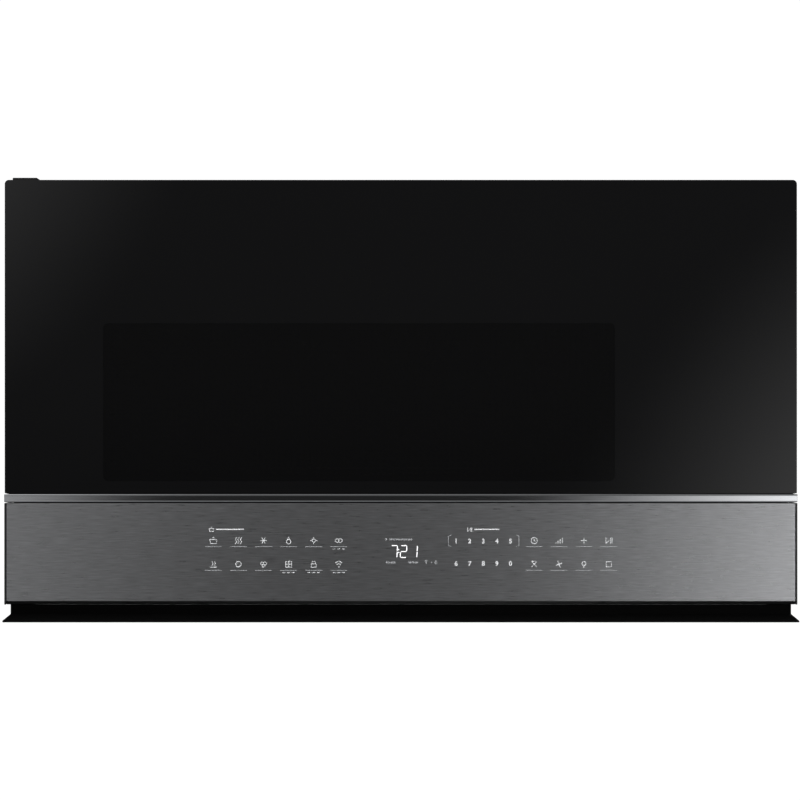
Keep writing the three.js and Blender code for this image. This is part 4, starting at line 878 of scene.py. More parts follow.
def number_keys():
    """The digits 1 to 9 and 0, in two rows."""
    for i in range(2 * NUMBER_ROW):
        number = str((i + 1) % 10)
        text = bpy.data.curves.new("number", "FONT")
        text.body = number
        text.size = NUMBER_HEIGHT / CAPITAL
        text.extrude = STROKE / 2
        text.offset = NUMBER_WEIGHT
        text.resolution_u = NUMBER_STEPS
        text.align_x = "CENTER"
        carrier = bpy.data.objects.new("number", text)
        bpy.context.scene.collection.objects.link(carrier)
        mesh = bpy.data.meshes.new_from_object(carrier.evaluated_get(bpy.context.evaluated_depsgraph_get()))
        bpy.data.objects.remove(carrier)
        x = NUMBERS_X[0] + (i % NUMBER_ROW) * NUMBERS_X[1]
        z = NUMBERS_Z[i // NUMBER_ROW] - NUMBER_HEIGHT / 2
        mesh.transform(Matrix.Translation((x, GLASS_FRONT, z)) @ Matrix.Rotation(math.pi / 2, 4, "X"))
        bm = bmesh.new()
        bm.from_mesh(mesh)
        bmesh.ops.remove_doubles(bm, verts=bm.verts, dist=WELD_REACH)
        add_piece("number_key_" + number, finished(bm, "number_key_" + number), "ink", "panel_fascia")


def display_figures():
    """Plain seven-bar figures and a colon."""
    low, high = DISPLAY_Z
    shapes = []
    for left, figure in zip(DISPLAY_CELLS, DISPLAY_FIGURES):
        for bar in figure:
            ends = []
            for x, z in DISPLAY_BARS[bar]:
                rise = z * (high - low) / 2
                ends.append(Vector((left + x * CELL_WIDTH + rise * DISPLAY_LEAN, low + rise)))
            along = (ends[1] - ends[0]).normalized() * DISPLAY_STROKE
            shapes.append(panel_line([ends[0] + along, ends[1] - along], DISPLAY_STROKE))
    x, heights, radius, steps = COLON
    shapes += [panel_ring(x, z, radius, steps) for z in heights]
    detail("display_figures", "lit", "panel_fascia", shapes)


def display_marks():
    """Rows of small strokes round the figures, and four small signs."""
    shapes = []
    for left, right, z in DISPLAY_MARKS:
        count = round((right - left) / MARK_PITCH)
        for i in range(count):
            x = left + (i + 0.5) * (right - left) / count
            shapes.append(panel_line([(x, z - MARK_HALF), (x, z + MARK_HALF)]))
        shapes.append(panel_line([(left, z), (right, z)], RULE_STROKE))
    for sign, x, z, size in DISPLAY_SIGNS:
        shapes += panel_sign(sign, x, z, size)
    detail("display_marks", "grey_ink", "panel_fascia", shapes)


def control_panel():
    key_legends("left", LEFT_KEYS, LEFT_SIGNS, HELD_KEYS)
    key_legends("right", RIGHT_KEYS, RIGHT_SIGNS)
    headings()
    number_keys()
    display_figures()
    display_marks()


# ---------------------------------------------------------------- door

BEAD_RADIUS = 0.0007  # bright bead along the trim strip's foot
STRIP_LEAN = 0.00045  # the strip's face leans back towards its foot
STRIP_BROW = 0.0014  # height of the strip's top edge, which leans back the other way
STRIP_EDGE = 0.0003
HOLE_PITCH = 0.006  # perforations of the door screen
HOLE_RADIUS = 0.0023
HOLE_SIDES = 8
HOLE_TURN = (45, 315)  # degrees to a hole's first point, and from it to the last
HOLE_CORNERS = ((1, 1), (-1, 1), (-1, -1), (1, -1))  # of the square round a hole
SCREEN_BORDER = 0.010
TOOTH_PITCH = 0.016  # choke comb
TOOTH_WIDTH = 0.010
TOOTH_INSET = 0.005
TOOTH_THICKNESS = 0.0008
TOOTH_FRONT, TOOTH_BACK = 0.0014, 0.001  # teeth behind the choke's front and before its back
COVER_RIBS = (0.022, 0.030)  # ribs of the back cover, from its outline
COVER_RIB = ((0, -0.0004), (0.002, -0.0004), (0.002, 0.0006), (0, 0.0006))  # inset and height
COVER_CORNER = 0.012
WINDOW_BEAD = ((-0.006, -0.0004), (-0.006, 0.0003), (-0.001, 0.0007), (-0.0006, -0.0004))
WINDOW_BEAD_CORNER = 0.003
COVER_SCREW_INSET = (0.012, 0.010)
COVER_SCREW = 0.0024
SPRING_WIRE = 0.00045
SPRING_TURNS = 9
SPRING_STEPS = 20


def trim_strip():
    """A bright folded strip along the glass's foot, with a bead under it."""
    node = "door_trim_strip"
    low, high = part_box(node)
    chest = high.z - STRIP_BROW
    outline = (
        (high.y, low.z),
        (high.y, high.z),
        (low.y + STRIP_LEAN / 2, high.z),
        (low.y, chest),
        (low.y + STRIP_LEAN / 12, chest - STRIP_LEAN),
        (low.y + STRIP_LEAN, low.z),
    )
    face = prism(outline, "x", low.x, high.x)
    detail("trim_strip_face", "bright_trim", node, [face], STRIP_EDGE, instead=True)
    y, z = low.y + BEAD_RADIUS, low.z + BEAD_RADIUS
    bead = tube([(low.x + EDGE, y, z), (high.x - EDGE, y, z)], BEAD_RADIUS, RIVET_STEPS)
    detail("trim_strip_bead", "bright_trim", node, [bead])


def perforated_cell(bm, x, z, front, back):
    """One square of a perforated sheet, with a hole through it."""
    half = HOLE_PITCH / 2
    rims = []
    for y in (front, back):
        corners = [bm.verts.new((x + i * half, y, z + k * half)) for i, k in HOLE_CORNERS]
        points = arc((x, z), HOLE_RADIUS, *HOLE_TURN, HOLE_SIDES - 1)
        rim = [bm.verts.new((u, y, v)) for u, v in points]
        for i in range(4):
            side = (corners[i], corners[(i + 1) % 4])
            bm.faces.new((*side, rim[(2 * i + 2) % HOLE_SIDES], rim[2 * i + 1], rim[2 * i]))
        rims.append(rim)
    for i in range(HOLE_SIDES):
        j = (i + 1) % HOLE_SIDES
        bm.faces.new((rims[0][i], rims[0][j], rims[1][j], rims[1][i]))


def door_screen():
    """A perforated sheet in a plain border."""
    name = "door_screen_sheet"
    box = Box("door_screen")
    low, high = box.low, box.high
    counts = [int(2 * (box.half[k] - SCREEN_BORDER) / HOLE_PITCH) for k in (0, 2)]
    half = Vector((counts[0], 0, counts[1])) * HOLE_PITCH / 2
    left, foot = (box.middle - half).xz
    right, top = (box.middle + half).xz
    bm = bmesh.new()
    for i in range(counts[0]):
        for k in range(counts[1]):
            x, z = left + (i + 0.5) * HOLE_PITCH, foot + (k + 0.5) * HOLE_PITCH
            perforated_cell(bm, x, z, low.y, high.y)
    bmesh.ops.remove_doubles(bm, verts=bm.verts, dist=HOLE_PITCH / 100)
    bmesh.ops.bridge_loops(bm, edges=[edge for edge in bm.edges if edge.is_boundary])
    for start, end in (
        ((low.x, low.z), (left, high.z)),
        ((right, low.z), (high.x, high.z)),
        ((left, low.z), (right, foot)),
        ((left, top), (right, high.z)),
    ):
        add_loft(bm, *prism(rectangle(start, end), "y", low.y, high.y))
    add_piece(name, finished(bm, name), "black_paint", "door_screen", instead=True)


def choke_comb():
    """The row of teeth that stands inside the choke's four walls."""
    low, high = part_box("door_choke")
    near, far = low.y + TOOTH_FRONT, high.y - TOOTH_BACK
    half = TOOTH_THICKNESS / 2
    teeth = []
    for k in range(2, int((high.x - low.x) / TOOTH_PITCH) - 1):
        x = low.x + k * TOOTH_PITCH
        for z in (low.z + TOOTH_INSET, high.z - TOOTH_INSET):
            teeth.append(block((x, near, z - half), (x + TOOTH_WIDTH, far, z + half)))
    for k in range(1, int((high.z - low.z) / TOOTH_PITCH)):
        z = low.z + k * TOOTH_PITCH
        for x in (low.x + TOOTH_INSET, high.x - TOOTH_INSET):
            teeth.append(block((x - half, near, z), (x + half, far, z + TOOTH_WIDTH)))
    detail("choke_teeth", "galvanised", "door_choke", teeth)


def back_cover():
    """A bead round the window, two raised ribs round the cover, and its screws."""
    node = "door_back_cover"
    low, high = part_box(node)
    glass_low, glass_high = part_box("door_inner_glass")
    bead = [(inset, high.y + rise) for inset, rise in WINDOW_BEAD]
    shapes = [surround(glass_low.xz, glass_high.xz, bead, "y", WINDOW_BEAD_CORNER)]
    for start in COVER_RIBS:
        rib = [(start + inset, high.y + rise) for inset, rise in COVER_RIB]
        shapes.append(surround(low.xz, high.xz, rib, "y", COVER_CORNER))
    detail("back_cover_ribs", "black_plastic", node, shapes)
    spots = corners(low.xz, high.xz, *COVER_SCREW_INSET) + [(0, high.z - COVER_SCREW_INSET[1])]
    screws("back_cover_screws", node, [(x, high.y, z) for x, z in spots], BACKWARD, COVER_SCREW)


def latch_spring():
    """A coil that the rising latch bar squashes."""
    box = Box("latch_spring")
    radius = box.half.x - SPRING_WIRE
    length = 2 * (box.half.z - SPRING_WIRE)
    last = SPRING_TURNS * SPRING_STEPS
    points = []
    for i in range(last + 1):
        turn = 2 * math.pi * i / SPRING_STEPS
        z = box.low.z + SPRING_WIRE + length * i / last
        points.append((box.middle.x + radius * math.cos(turn), box.middle.y + radius * math.sin(turn), z))
    spring = detail("latch_spring_coil", "steel", "latch_spring", [tube(points, SPRING_WIRE)], instead=True)
    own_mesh(spring)


def door():
    door_glass()
    trim_strip()
    choke_comb()
    door_screen()
    back_cover()
    latch_spring()


# ---------------------------------------------------------------- carcase

PILOT_RADIUS = 0.0025  # pilot holes of the wall plate
PILOT_PITCH = 0.0254
PILOT_INSET = 0.030
PILOT_REACH = 13  # holes to each side of the middle one
PILOT_START, PILOT_DEPTH = -0.004, 0.006
GROOVES_Z = (-0.02, 0.02)  # two pressed grooves along the wall plate
GROOVE_HALF = (0.34, 0.006)
GROOVE_DEPTH = 0.0005
GROOVE_CORNER, GROOVE_EDGE = 0.0055, 0.0004
VENT_HALF = (0.0012, 0.008)  # half a slot's width and height
VENT_PITCH = 0.006
VENT_FIELDS = (-0.340, -0.240)  # first slots of the rear panel's two fields
VENT_COUNT = 12
VENT_INSET = 0.030
THROUGH = 0.001  # how far a cut passes the sheet
REAR_SCREWS = ((-0.36, -0.18, 0.0, 0.18, 0.36), 0.008)  # their x, and how far under the top
CASE_INSET = 0.012  # case screws from an edge
SIDE_SCREWS_Z = (-0.16, -0.03, 0.10, 0.20)
SIDE_SCREWS_Y = (-0.30, -0.18)
SIDE_SCREW = 0.0035
TOP_FRONT_X, TOP_FRONT_INSET = (-0.2, 0.0, 0.2), 0.004
TOP_BACK_X = (-0.3, -0.16, 0.16, 0.3)
TOP_SCREW = 0.0028
MOUTH_FLANGE = ((-0.012, 0), (-0.012, -0.0006), (0.0014, -0.0008), (0.0014, 0.002))
MOUTH_CORNER = 0.006
FRAME_SCREWS_Z = (-0.06, 0.05, 0.205)  # screws of the frame behind the door
FRAME_INSETS = (0.015, 0.010, 0.012)  # from its left, right and top edges
FRAME_TOP_X = (-0.2, 0.0, 0.2)
RIM_DROP = 0.0008  # rims under the base pan's openings
# What each opening holds, and its rim's inset, width, drop at its inner edge, and corner.
RIMS = (
    ("grease_filter_", 0.006, 0.0028, RIM_DROP / 2, 0.010),
    ("cooktop_lamp_", 0.002, 0.0032, RIM_DROP, 0.006),
)
BASE_SCREWS_X, BASE_SCREWS_Y = (-0.36, 0.0, 0.36), (-0.375, -0.2, -0.02)
BASE_ROW_X, BASE_ROW_Y = (-0.345, -0.12, 0.12, 0.345), -0.12
BASE_SCREW = 0.003
GUSSETS_X = (0.3690, 0.3725)
GUSSET_THICKNESS = 0.0008
GUSSET_OUTLINE = ((-0.3925, -0.0003), (-0.380, -0.0003), (-0.380, -0.008))  # y, and z from the skirt's top
GUSSET_EDGE = 0.0002


def wall_plate():
    """Cut with rows of pilot holes, and with two long pressed grooves."""
    low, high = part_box("wall_plate")
    heights = (low.z + PILOT_INSET, high.z - PILOT_INSET)
    columns = [k * PILOT_PITCH for k in range(-PILOT_REACH, PILOT_REACH + 1)]
    places = [(x, PILOT_START, z) for z in heights for x in columns]
    cuts = holes(places, BACKWARD, PILOT_RADIUS, PILOT_DEPTH, RIVET_STEPS)
    width, height = GROOVE_HALF
    for z in GROOVES_Z:
        start, end = (-width, -GROOVE_DEPTH, z - height), (width, THROUGH, z + height)
        cuts.append(pad(start, end, GROOVE_CORNER, GROOVE_EDGE, "y"))
    dress("wall_plate", cuts)


def rear_panel():
    """Cut with two fields of upright vent slots."""
    low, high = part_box("rear_panel")
    width, height = VENT_HALF
    z = high.z - VENT_INSET
    cuts = []
    for first in VENT_FIELDS:
        for x in (first + k * VENT_PITCH for k in range(VENT_COUNT)):
            start = (x - width, low.y - THROUGH, z - height)
            cuts.append(block(start, (x + width, high.y + THROUGH, z + height)))
    dress("rear_panel", cuts)
    columns, inset = REAR_SCREWS
    screws("rear_screws", "rear_panel", [(x, high.y, high.z - inset) for x in columns], BACKWARD)


def case_screws():
    """Screws in both sides and the top of the case."""
    low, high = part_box("case_wrap")
    for side, x, direction in (("left", low.x, LEFTWARD), ("right", high.x, RIGHTWARD)):
        places = [(x, high.y - CASE_INSET, z) for z in SIDE_SCREWS_Z]
        places += [(x, y, low.z + CASE_INSET) for y in SIDE_SCREWS_Y]
        screws("side_screws_" + side, "case_wrap", places, direction, SIDE_SCREW)
    places = [(x, low.y + TOP_FRONT_INSET, high.z) for x in TOP_FRONT_X]
    places += [(x, high.y - CASE_INSET, high.z) for x in TOP_BACK_X]
    screws("top_screws", "case_wrap", places, UP, TOP_SCREW)


def oven_mouth():
    """The enamelled flange round the oven's mouth, and the screws of the frame behind the door."""
    low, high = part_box("front_frame")
    mouth_low, mouth_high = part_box("oven_cavity")
    section = [(inset, low.y + depth) for inset, depth in MOUTH_FLANGE]
    flange = surround(mouth_low.xz, mouth_high.xz, section, "y", MOUTH_CORNER)
    detail("oven_mouth_flange", "enamel", "front_frame", [flange])
    left, right, top = FRAME_INSETS
    places = [(x, low.y, z) for x in (low.x + left, high.x - right) for z in FRAME_SCREWS_Z]
    places += [(x, low.y, high.z - top) for x in FRAME_TOP_X]
    screws("front_frame_screws", "front_frame", places, FORWARD)


def base_rims():
    """Rims under the base pan's openings for the filters and lamps, and its screws."""
    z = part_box("base_pan")[0].z
    shapes = []
    for kind, inset, width, drop, corner in RIMS:
        inner = inset + width
        section = ((inset, z), (inset, z - RIM_DROP), (inner, z - drop), (inner, z))
        for side in SIDES:
            low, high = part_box(kind + side)
            shapes.append(surround(low.xy, high.xy, section, "z", corner))
    detail("base_pan_rims", "black_paint", "base_pan", shapes)
    places = [(x, y, z) for x in BASE_SCREWS_X for y in BASE_SCREWS_Y]
    places += [(x, BASE_ROW_Y, z) for x in BASE_ROW_X]
    screws("base_pan_screws", "base_pan", places, DOWN, BASE_SCREW)


def skirt_gussets():
    """A pair of small gussets at each end of the skirt's front."""
    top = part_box("base_skirt")[1].z
    outline = [(y, top + rise) for y, rise in GUSSET_OUTLINE]
    shapes = []
    for way in (-1, 1):
        for x in GUSSETS_X:
            shapes.append(prism(outline, "x", *sorted((way * x, way * (x - GUSSET_THICKNESS)))))
    detail("skirt_gussets", "black_paint", "base_skirt", shapes, GUSSET_EDGE)


def carcase():
    wall_plate()
    rear_panel()
    case_screws()
    oven_mouth()
    base_rims()
    skirt_gussets()


# ---------------------------------------------------------------- oven

AIR_HOLE = 0.0015  # air holes through the oven's side walls
AIR_PITCH = 0.0055
AIR_COUNT = 9
AIR_FOOT = 0.040
AIR_CUT = 0.003  # half the length of a hole's cut
AIR_STEPS = 10
INLET_FRONT, OUTLET_FRONT = -0.325, -0.125  # first holes of the right and left walls
TRACK = ((-0.006, 0), (-0.005, 0.0002), (0.005, 0.0002), (0.006, 0), (0.006, -0.0004), (-0.006, -0.0004))
TRACK_DROP = 0.0003  # track under the rollers' lowest points
SEAM_DEPTH = 0.0013  # oven lamp's housing ends this far before its lens's face
LAMP_GAP = 0.0003
LAMP_SOFT = (0.003, 0.001)  # corner and edge
LAMP_RIBS, LAMP_RIB_START, LAMP_RIB_PITCH = 5, 0.008, 0.007
LAMP_RIB = (0.004, 0.0025, -0.0005, 0.0006)  # its gap to the seam, its width, foot and top
RIB_SOFT = (0.001, 0.0003)
LENS_HALF = (0.0168, 0.0078)
LENS_OVERLAP = 0.001
LENS_RIDGES = 34
LENS_RIDGE = 0.0005
TERMINAL_X = 0.002
TERMINAL_Y = 0.008
# Small soft blocks: their size, corner and edge, and the corner's axis where it isn't Z.
LAMP_TERMINAL = ((0.006, 0.006, 0.0008), 0.001, 0.0001)
MOTOR_TERMINAL = ((0.004, 0.007, 0.0008), 0.0008, 0.0001)
MICA_SOFT = (0.006, 0.0002)
MICA_BUTTON = ((0.0032, 0), (0.0032, 0.0005), (0.0022, 0.0014), (0.0008, 0.0016))
BUTTON_INSET = 0.005
BUTTON_SEAT = 0.0001
BUTTON_STEPS = 20
MOTOR_SCREWS = (0.005, 0.002, 0.0022)  # from the motor's sides and top, and their radius
MOTOR_BLADES = (0.006, 0.0005, 0.0044)  # from its middle, its front and its foot
MOTOR_BOSS = ((0.019, 0), (0.019, 0.0008), (0.0175, 0.0012), (0.004, 0.0012))
BOSS_STEPS = 32
TRAY_RINGS = (0.045, 0.075, 0.105)
TRAY_RING = ((-0.001, 0), (-0.0004, 0.0005), (0.0004, 0.0005), (0.001, 0), (0, -0.0003))
TRAY_THICKNESS = 0.005
TRAY_FLARE = 0.014  # rim beyond the tray's flat base
TRAY_RIM = (0.005, 0.003)  # width and height of the rim's upright part
TRAY_SLOPE = 0.004
TRAY_FILLET = 0.0022
TRAY_STEPS = 96
AXLE_RUN = 0.017  # from the ring's middle to an axle's end
CHANNEL_WALL = 0.0015
CHANNEL_FILLET = 0.0004
COLLAR = ((0.0034, -0.0012), (0.0034, 0.002), (0.0018, 0.0026))  # radius, and place from the ring's side
CAP = ((0.0018, -0.0022), (0.0024, -0.002), (0.0024, -0.0006), (0.0014, 0))  # and from the axle's end
CROSSING = (0.0026, 0.0012)  # radius of the axle inside the channel, and its gap to the channel's sides
AXLES = 3
AXLE_STEPS, CROSSING_STEPS = 20, 16
ROLLER_HALF = 0.003
ROLLER_SIDE = ((0.0023, 1), (0.0045, 1), (0.0048, 0.5), (0.0066, 0.5), (0.0070, 1))  # radius, share of half
ROLLER_EDGE = (0.0007, 0.0008)
ROLLER_STEPS = 40


def oven_walls():
    """Air holes through both side walls, and the pressed track that the rollers run on."""
    low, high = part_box("oven_cavity")
    steps = [i * AIR_PITCH for i in range(AIR_COUNT)]
    cuts = []
    for x, front in ((high.x, INLET_FRONT), (low.x, OUTLET_FRONT)):
        places = [(x - AIR_CUT, front + dy, AIR_FOOT + dz) for dy in steps for dz in steps]
        cuts += holes(places, RIGHTWARD, AIR_HOLE, 2 * AIR_CUT, AIR_STEPS)
    dress("oven_cavity", cuts)
    centre = Box("glass_tray").middle
    roller = Box("roller_1")
    radius = roller.middle.x - centre.x
    place = Matrix.Translation((centre.x, centre.y, roller.low.z - TRACK_DROP))
    track = lathe([(radius + r, h) for r, h in TRACK], place, TRAY_STEPS, closed=True)
    detail("roller_track", "enamel", "oven_cavity", [track])


def cavity_lamp():
    """A white housing with ribs on top, a ridged lens towards the oven, and two terminals."""
    node = "cavity_lamp"
    box = Box(node)
    low, high, middle = box.low, box.high, box.middle
    seam = high.x - SEAM_DEPTH
    shapes = [pad(low, (seam - LAMP_GAP, high.y, high.z), *LAMP_SOFT, "x")]
    gap, thickness, foot, top = LAMP_RIB
    for k in range(LAMP_RIBS):
        y = low.y + LAMP_RIB_START + k * LAMP_RIB_PITCH
        end = (seam - gap, y + thickness, high.z + top)
        shapes.append(pad((low.x, y, high.z + foot), end, *RIB_SOFT))
    detail("cavity_lamp_housing", "white_plastic", node, shapes, instead=True)
    width, height = LENS_HALF
    back = seam - LENS_OVERLAP
    outline = [(back, middle.y + width), (back, middle.y - width)]
    for k in range(LENS_RIDGES):
        y = middle.y - width + 2 * width * (k + 0.5) / LENS_RIDGES
        outline.append((high.x - LENS_RIDGE * (k % 2), y))
    lens = prism(outline, "z", middle.z - height, middle.z + height)
    detail("cavity_lamp_lens", "lamp_lens", node, [lens])
    middles = [(low.x - TERMINAL_X, middle.y + dy, middle.z) for dy in (-TERMINAL_Y, TERMINAL_Y)]
    detail("cavity_lamp_terminals", "steel", node, pads(middles, *LAMP_TERMINAL))


def mica_cover():
    """A mica sheet held by a button in each corner."""
    node = "waveguide_cover"
    low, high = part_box(node)
    detail("mica_sheet", "mica", node, [pad(low, high, *MICA_SOFT, "x")], instead=True)
    spots = corners(low.yz, high.yz, BUTTON_INSET, BUTTON_INSET)
    places = [(low.x + BUTTON_SEAT, y, z) for y, z in spots]
    detail("mica_buttons", "white_plastic", node, studs(places, LEFTWARD, MICA_BUTTON, BUTTON_STEPS))


def turntable_motor():
    """Two screws, two terminals and a boss under the motor."""
    node = "turntable_motor"
    box = Box(node)
    low, high, middle = box.low, box.high, box.middle
    inset, drop, radius = MOTOR_SCREWS
    places = [(x, middle.y, high.z - drop) for x in (low.x + inset, high.x - inset)]
    screws("turntable_motor_screws", node, places, DOWN, radius)
    aside, ahead, rise = MOTOR_BLADES
    middles = [(middle.x + way * aside, low.y - ahead, low.z + rise) for way in (-1, 1)]
    shapes = pads(middles, *MOTOR_TERMINAL)
    shapes += studs([(middle.x, middle.y, low.z)], DOWN, MOTOR_BOSS, BOSS_STEPS)
    detail("turntable_motor_terminals", "steel", node, shapes)


def glass_tray():
    """A shallow dish with three raised rings."""
    box = Box("glass_tray")
    radius, top = box.half.x, 2 * box.half.z
    base = radius - TRAY_FLARE
    width, height = TRAY_RIM
    outline = (
        (0, 0),
        (base, 0),
        (radius, top - height),
        (radius, top),
        (radius - width, top),
        (base - TRAY_SLOPE, TRAY_THICKNESS),
        (0, TRAY_THICKNESS),
    )
    profile = [point for point in filleted(outline, TRAY_FILLET) if point[0] > base / 2]
    place = Matrix.Translation((box.middle.x, box.middle.y, box.low.z))
    shapes = [lathe(profile, place, TRAY_STEPS)]
    for ring in TRAY_RINGS:
        bump = [(ring + r, TRAY_THICKNESS + h) for r, h in TRAY_RING]
        shapes.append(lathe(bump, place, TRAY_STEPS, closed=True))
    detail("glass_tray_disc", "clear_glass", "glass_tray", shapes, instead=True)


def roller_ring():
    """A ring of channel section with three axles. Each has a collar, and a cap outside its roller."""
    box = Box("roller_ring")
    centre = Box("glass_tray").middle
    half, inner = box.half.z, box.half.z - CHANNEL_WALL
    reach = box.high.x - centre.x
    ring = reach - AXLE_RUN
    place = Matrix.Translation((centre.x, centre.y, box.middle.z))
    floor = CHANNEL_WALL - half
    channel = ((-half, -half), (half, -half), (half, half), (inner, half))
    channel += ((inner, floor), (-inner, floor), (-inner, half), (-half, half))
    section = filleted([(ring + r, h) for r, h in channel], CHANNEL_FILLET, 1)
    shapes = [lathe(section, place, TRAY_STEPS, closed=True)]
    axle = [(r, ring + half + h) for r, h in COLLAR] + [(r, reach + h) for r, h in CAP]
    radius, gap = CROSSING
    crossing = ((radius, ring - half + gap), (radius, ring + half - gap))
    for i in range(AXLES):
        spin = Matrix.Rotation(2 * math.pi * i / AXLES, 4, "Z")
        turn = place @ spin @ Matrix.Rotation(math.pi / 2, 4, "Y")
        shapes += [lathe(axle, turn, AXLE_STEPS), lathe(crossing, turn, CROSSING_STEPS)]
    detail("roller_ring_channel", "white_plastic", "roller_ring", shapes, instead=True)


def roller(node):
    """A wheel with a hub, a thinner web and a softened tread."""
    box = Box(node)
    out = box.middle - Box("glass_tray").middle
    radius, half = box.half.z, ROLLER_HALF
    width, drop = ROLLER_EDGE
    side = [(r, share * half) for r, share in ROLLER_SIDE]
    side += [(radius - width, half), (radius, half - drop)]
    profile = side + [(r, -h) for r, h in reversed(side)]
    wheel = lathe(profile, pointing(box.middle, (out.x, out.y, 0)), ROLLER_STEPS, closed=True)
    detail(node + "_wheel", "white_plastic", node, [wheel], instead=True)


def oven():
    oven_walls()
    cavity_lamp()
    mica_cover()
    turntable_motor()
    glass_tray()
    roller_ring()
    for i in range(AXLES):
        roller("roller_%d" % (i + 1))


# ---------------------------------------------------------------- microwave power

FLANGE = ((-0.006, 0), (-0.006, 0.001), (0.0004, 0.001), (0.0004, 0))  # waveguide's: inset and depth
FLANGE_FACE, FLANGE_CORNER = 0.001, 0.004
WELD_PITCH = 0.012
WELD_INSET = 0.003
WELD_DIMPLE = ((0.0017, -0.0002), (0.0017, 0.0002), (0.00102, 0.0004), (0.00051, 0.0002))
YOKE_SHEET = 0.0033
YOKE_SCREW = 0.034  # screws of the yoke from its middle
ANODE = (0.0185, 0.020, 0.0015)  # end radius, radius, and length of its slopes
FIN_COUNT = 6
FIN_THICKNESS = 0.0012
FIN_SOFT = (0.004, 0.0002)
FIN_LIP = (0.0002, 0.004, 0.012)  # a folded lip's start and end along the stack, and its inset
LIP_SOFT = (0.0004, 0.0002)
MAGNET_THICKNESS = 0.009
MAGNET = ((0.0202, 0), (0.0259, 0), (0.0265, 0.0006), (0.0265, 0.0084), (0.0259, 0.009), (0.0202, 0.009))
MAGNET_GAP = 0.0016
NECK_RADIUS, NECK_SEAT, NECK_STEPS = 0.0070, 0.001, 28
NECK_TOP = ((0.0070, 0.010), (0.0058, 0.0085))  # radius, and place from the antenna's tip
ANTENNA = ((0.0060, 0.0095), (0.0060, 0.003), (0.0048, 0.0008), (0.0025, 0))
FILTER_HALF = (0.020, 0.022)  # half the filter box's width and height
FILTER_GAP = 0.0003
FILTER_SOFT = (0.003, 0.0008)
FILTER_RIM = ((-0.0008, -0.005), (0.001, -0.001))
BLADES_PLACE = (0.0084, 0.007, 0.025)  # blades behind the yoke, beside the middle and under it
FILTER_BLADE = ((0.0008, 0.006, 0.010), 0.001, 0.0001, "x")
SEAT_PLACE = (0.009, 0.02275)
FILTER_SEAT = ((0.010, 0.026, 0.0035), 0.002, 0.0004)
SIDE_SEAM = (0.009, 0.001, 0.0016)  # weld seams of the core: from an edge, from an end, and radius
END_SEAM = (0.009, 0.002, 0.0012)
WIRE_RADIUS = 0.0013
WINDING_ROWS = 15
WINDING_LAYERS = 3
LAYER_PITCH = 2.1  # over the wire's radius
WINDING_CORNER = 0.007
FORMER = (0.0035, 0.0115, 0.0005, 0.006)  # paper between the coils: insets, gap to the ends, and corner
BELT = (-0.0004, 0.006, 0.0035, 0.007)  # paper round them: insets, half its height, and corner
CAN_HALF = 0.028  # half the capacitor's length
CAN_NECK = 0.009  # the can's top under its blades' tops
CAN_FOOT = ((0.0015, 0), (0, 0.0015))  # the can's inset and height, from its foot and then from its top
CAN_TOP = (
    (0, -0.004), (0.001, -0.0032), (0.001, -0.0024), (0, -0.0016),
    (0.0006, 0), (0.0016, 0), (0.002, -0.0018),
)
CAN_STEPS = 14
CAN_BLADES = (0.015, 0.0022)  # blades from the can's end and its middle
BLADE_SEAT = ((0.0065, -0.002), (0.0065, 0.001), (0.0055, 0.0018), (0.004, 0.0018))
BLADE_THICKNESS, BLADE_WIDTH, BLADE_SOFT = 0.0008, 0.006, (0.0008, 0.0001)
STRAP = ((-0.0008, 0.040), (0.0001, 0.052))
STRAP_FOOT = (0.003, 0.002, 0.001, 0.0015)  # half width, overlap, gap to the node's back, thickness
STRAP_SOFT = (0.001, 0.0003)
DIODE = ((0.003, 0), (0.004, 0.001), (0.004, 0.017), (0.003, 0.018))
DIODE_INSET = 0.004
CHOKE = (-0.022, -0.0006, 0.014, 0.0145)  # beside the middle, off the board, radius and height
CHOKE_CORNER, CHOKE_LOOP_CORNER, CHOKE_STEPS = 0.001, 0.0015, 36
CHOKE_TURNS = 18
CHOKE_WIRE = 0.0006
CHOKE_SPREAD = (25, 130)  # degrees to the first turn of a side, and from it to the last
BOARD_SHEET = 0.0016
FILTER_BOARD_GAP = 0.005
BOARD_SOFT = (0.003, 0.0002)
CAPACITORS_X = (0.015, 0.037)
CAPACITOR = ((0.014, 0.014, 0.030), 0.001, 0.0008, "y")
POST_INSET = 0.008
POST = ((0.003, 0), (0.003, 0.005))
POST_CLIP = ((0.0035, 0), (0.0035, 0.001), (0.002, 0.002))
PLUG = ((0.028, 0.008, 0.010), 0.001, 0.0006, "y")
PLUG_DROP = 0.009
FUSE = (0.008, 0.010, 0.004, 0.010)  # beside the middle, to its caps, off the board, and above the foot
FUSE_CAP = ((0.0028, 0), (0.0028, 0.005))
TAB = ((0.006, 0.009, 0.0008), 0.001, 0.0001, "y")
TAB_RISE = 0.0064
TABS_LEFT, TAB_RIGHT = (0.020, 0.028), 0.024
SOLDER = ((0.0008, 0), (0.0003, 0.0006))
SOLDER_COUNT = 60
SOLDER_STEPS = 8
SOLDER_INSET = (0.006, 0.005)
FAN_HOLE = (0.040, 0.0022, 16)  # from the middle, radius, and steps
FAN_CORE = 0.0155
FAN_HUB = ((0.0145, 0), (0.016, 0.0015))
FAN_HUB_TOP = ((0.016, -0.0005), (0.0152, 0), (0.0146, 0))
FAN_HUB_INSIDE = ((0.0146, 0.002), (0.0023, 0.002), (0.0023, 0.0018))
FAN_LABEL = ((0.0065, 0), (0.0065, 0.0006), (0.003, 0.0008))
FAN_BLADES = 7
BLADE_SPANS = 8
BLADE_SWEEP = 0.35
BLADE_PITCH = (52, 16)  # degrees at its root, and eased by so many at its tip
BLADE_CHORD = (0.0068, 0.0002)  # half its chord, and its shift from a span to the next
BLADE_CAMBER = 0.0011
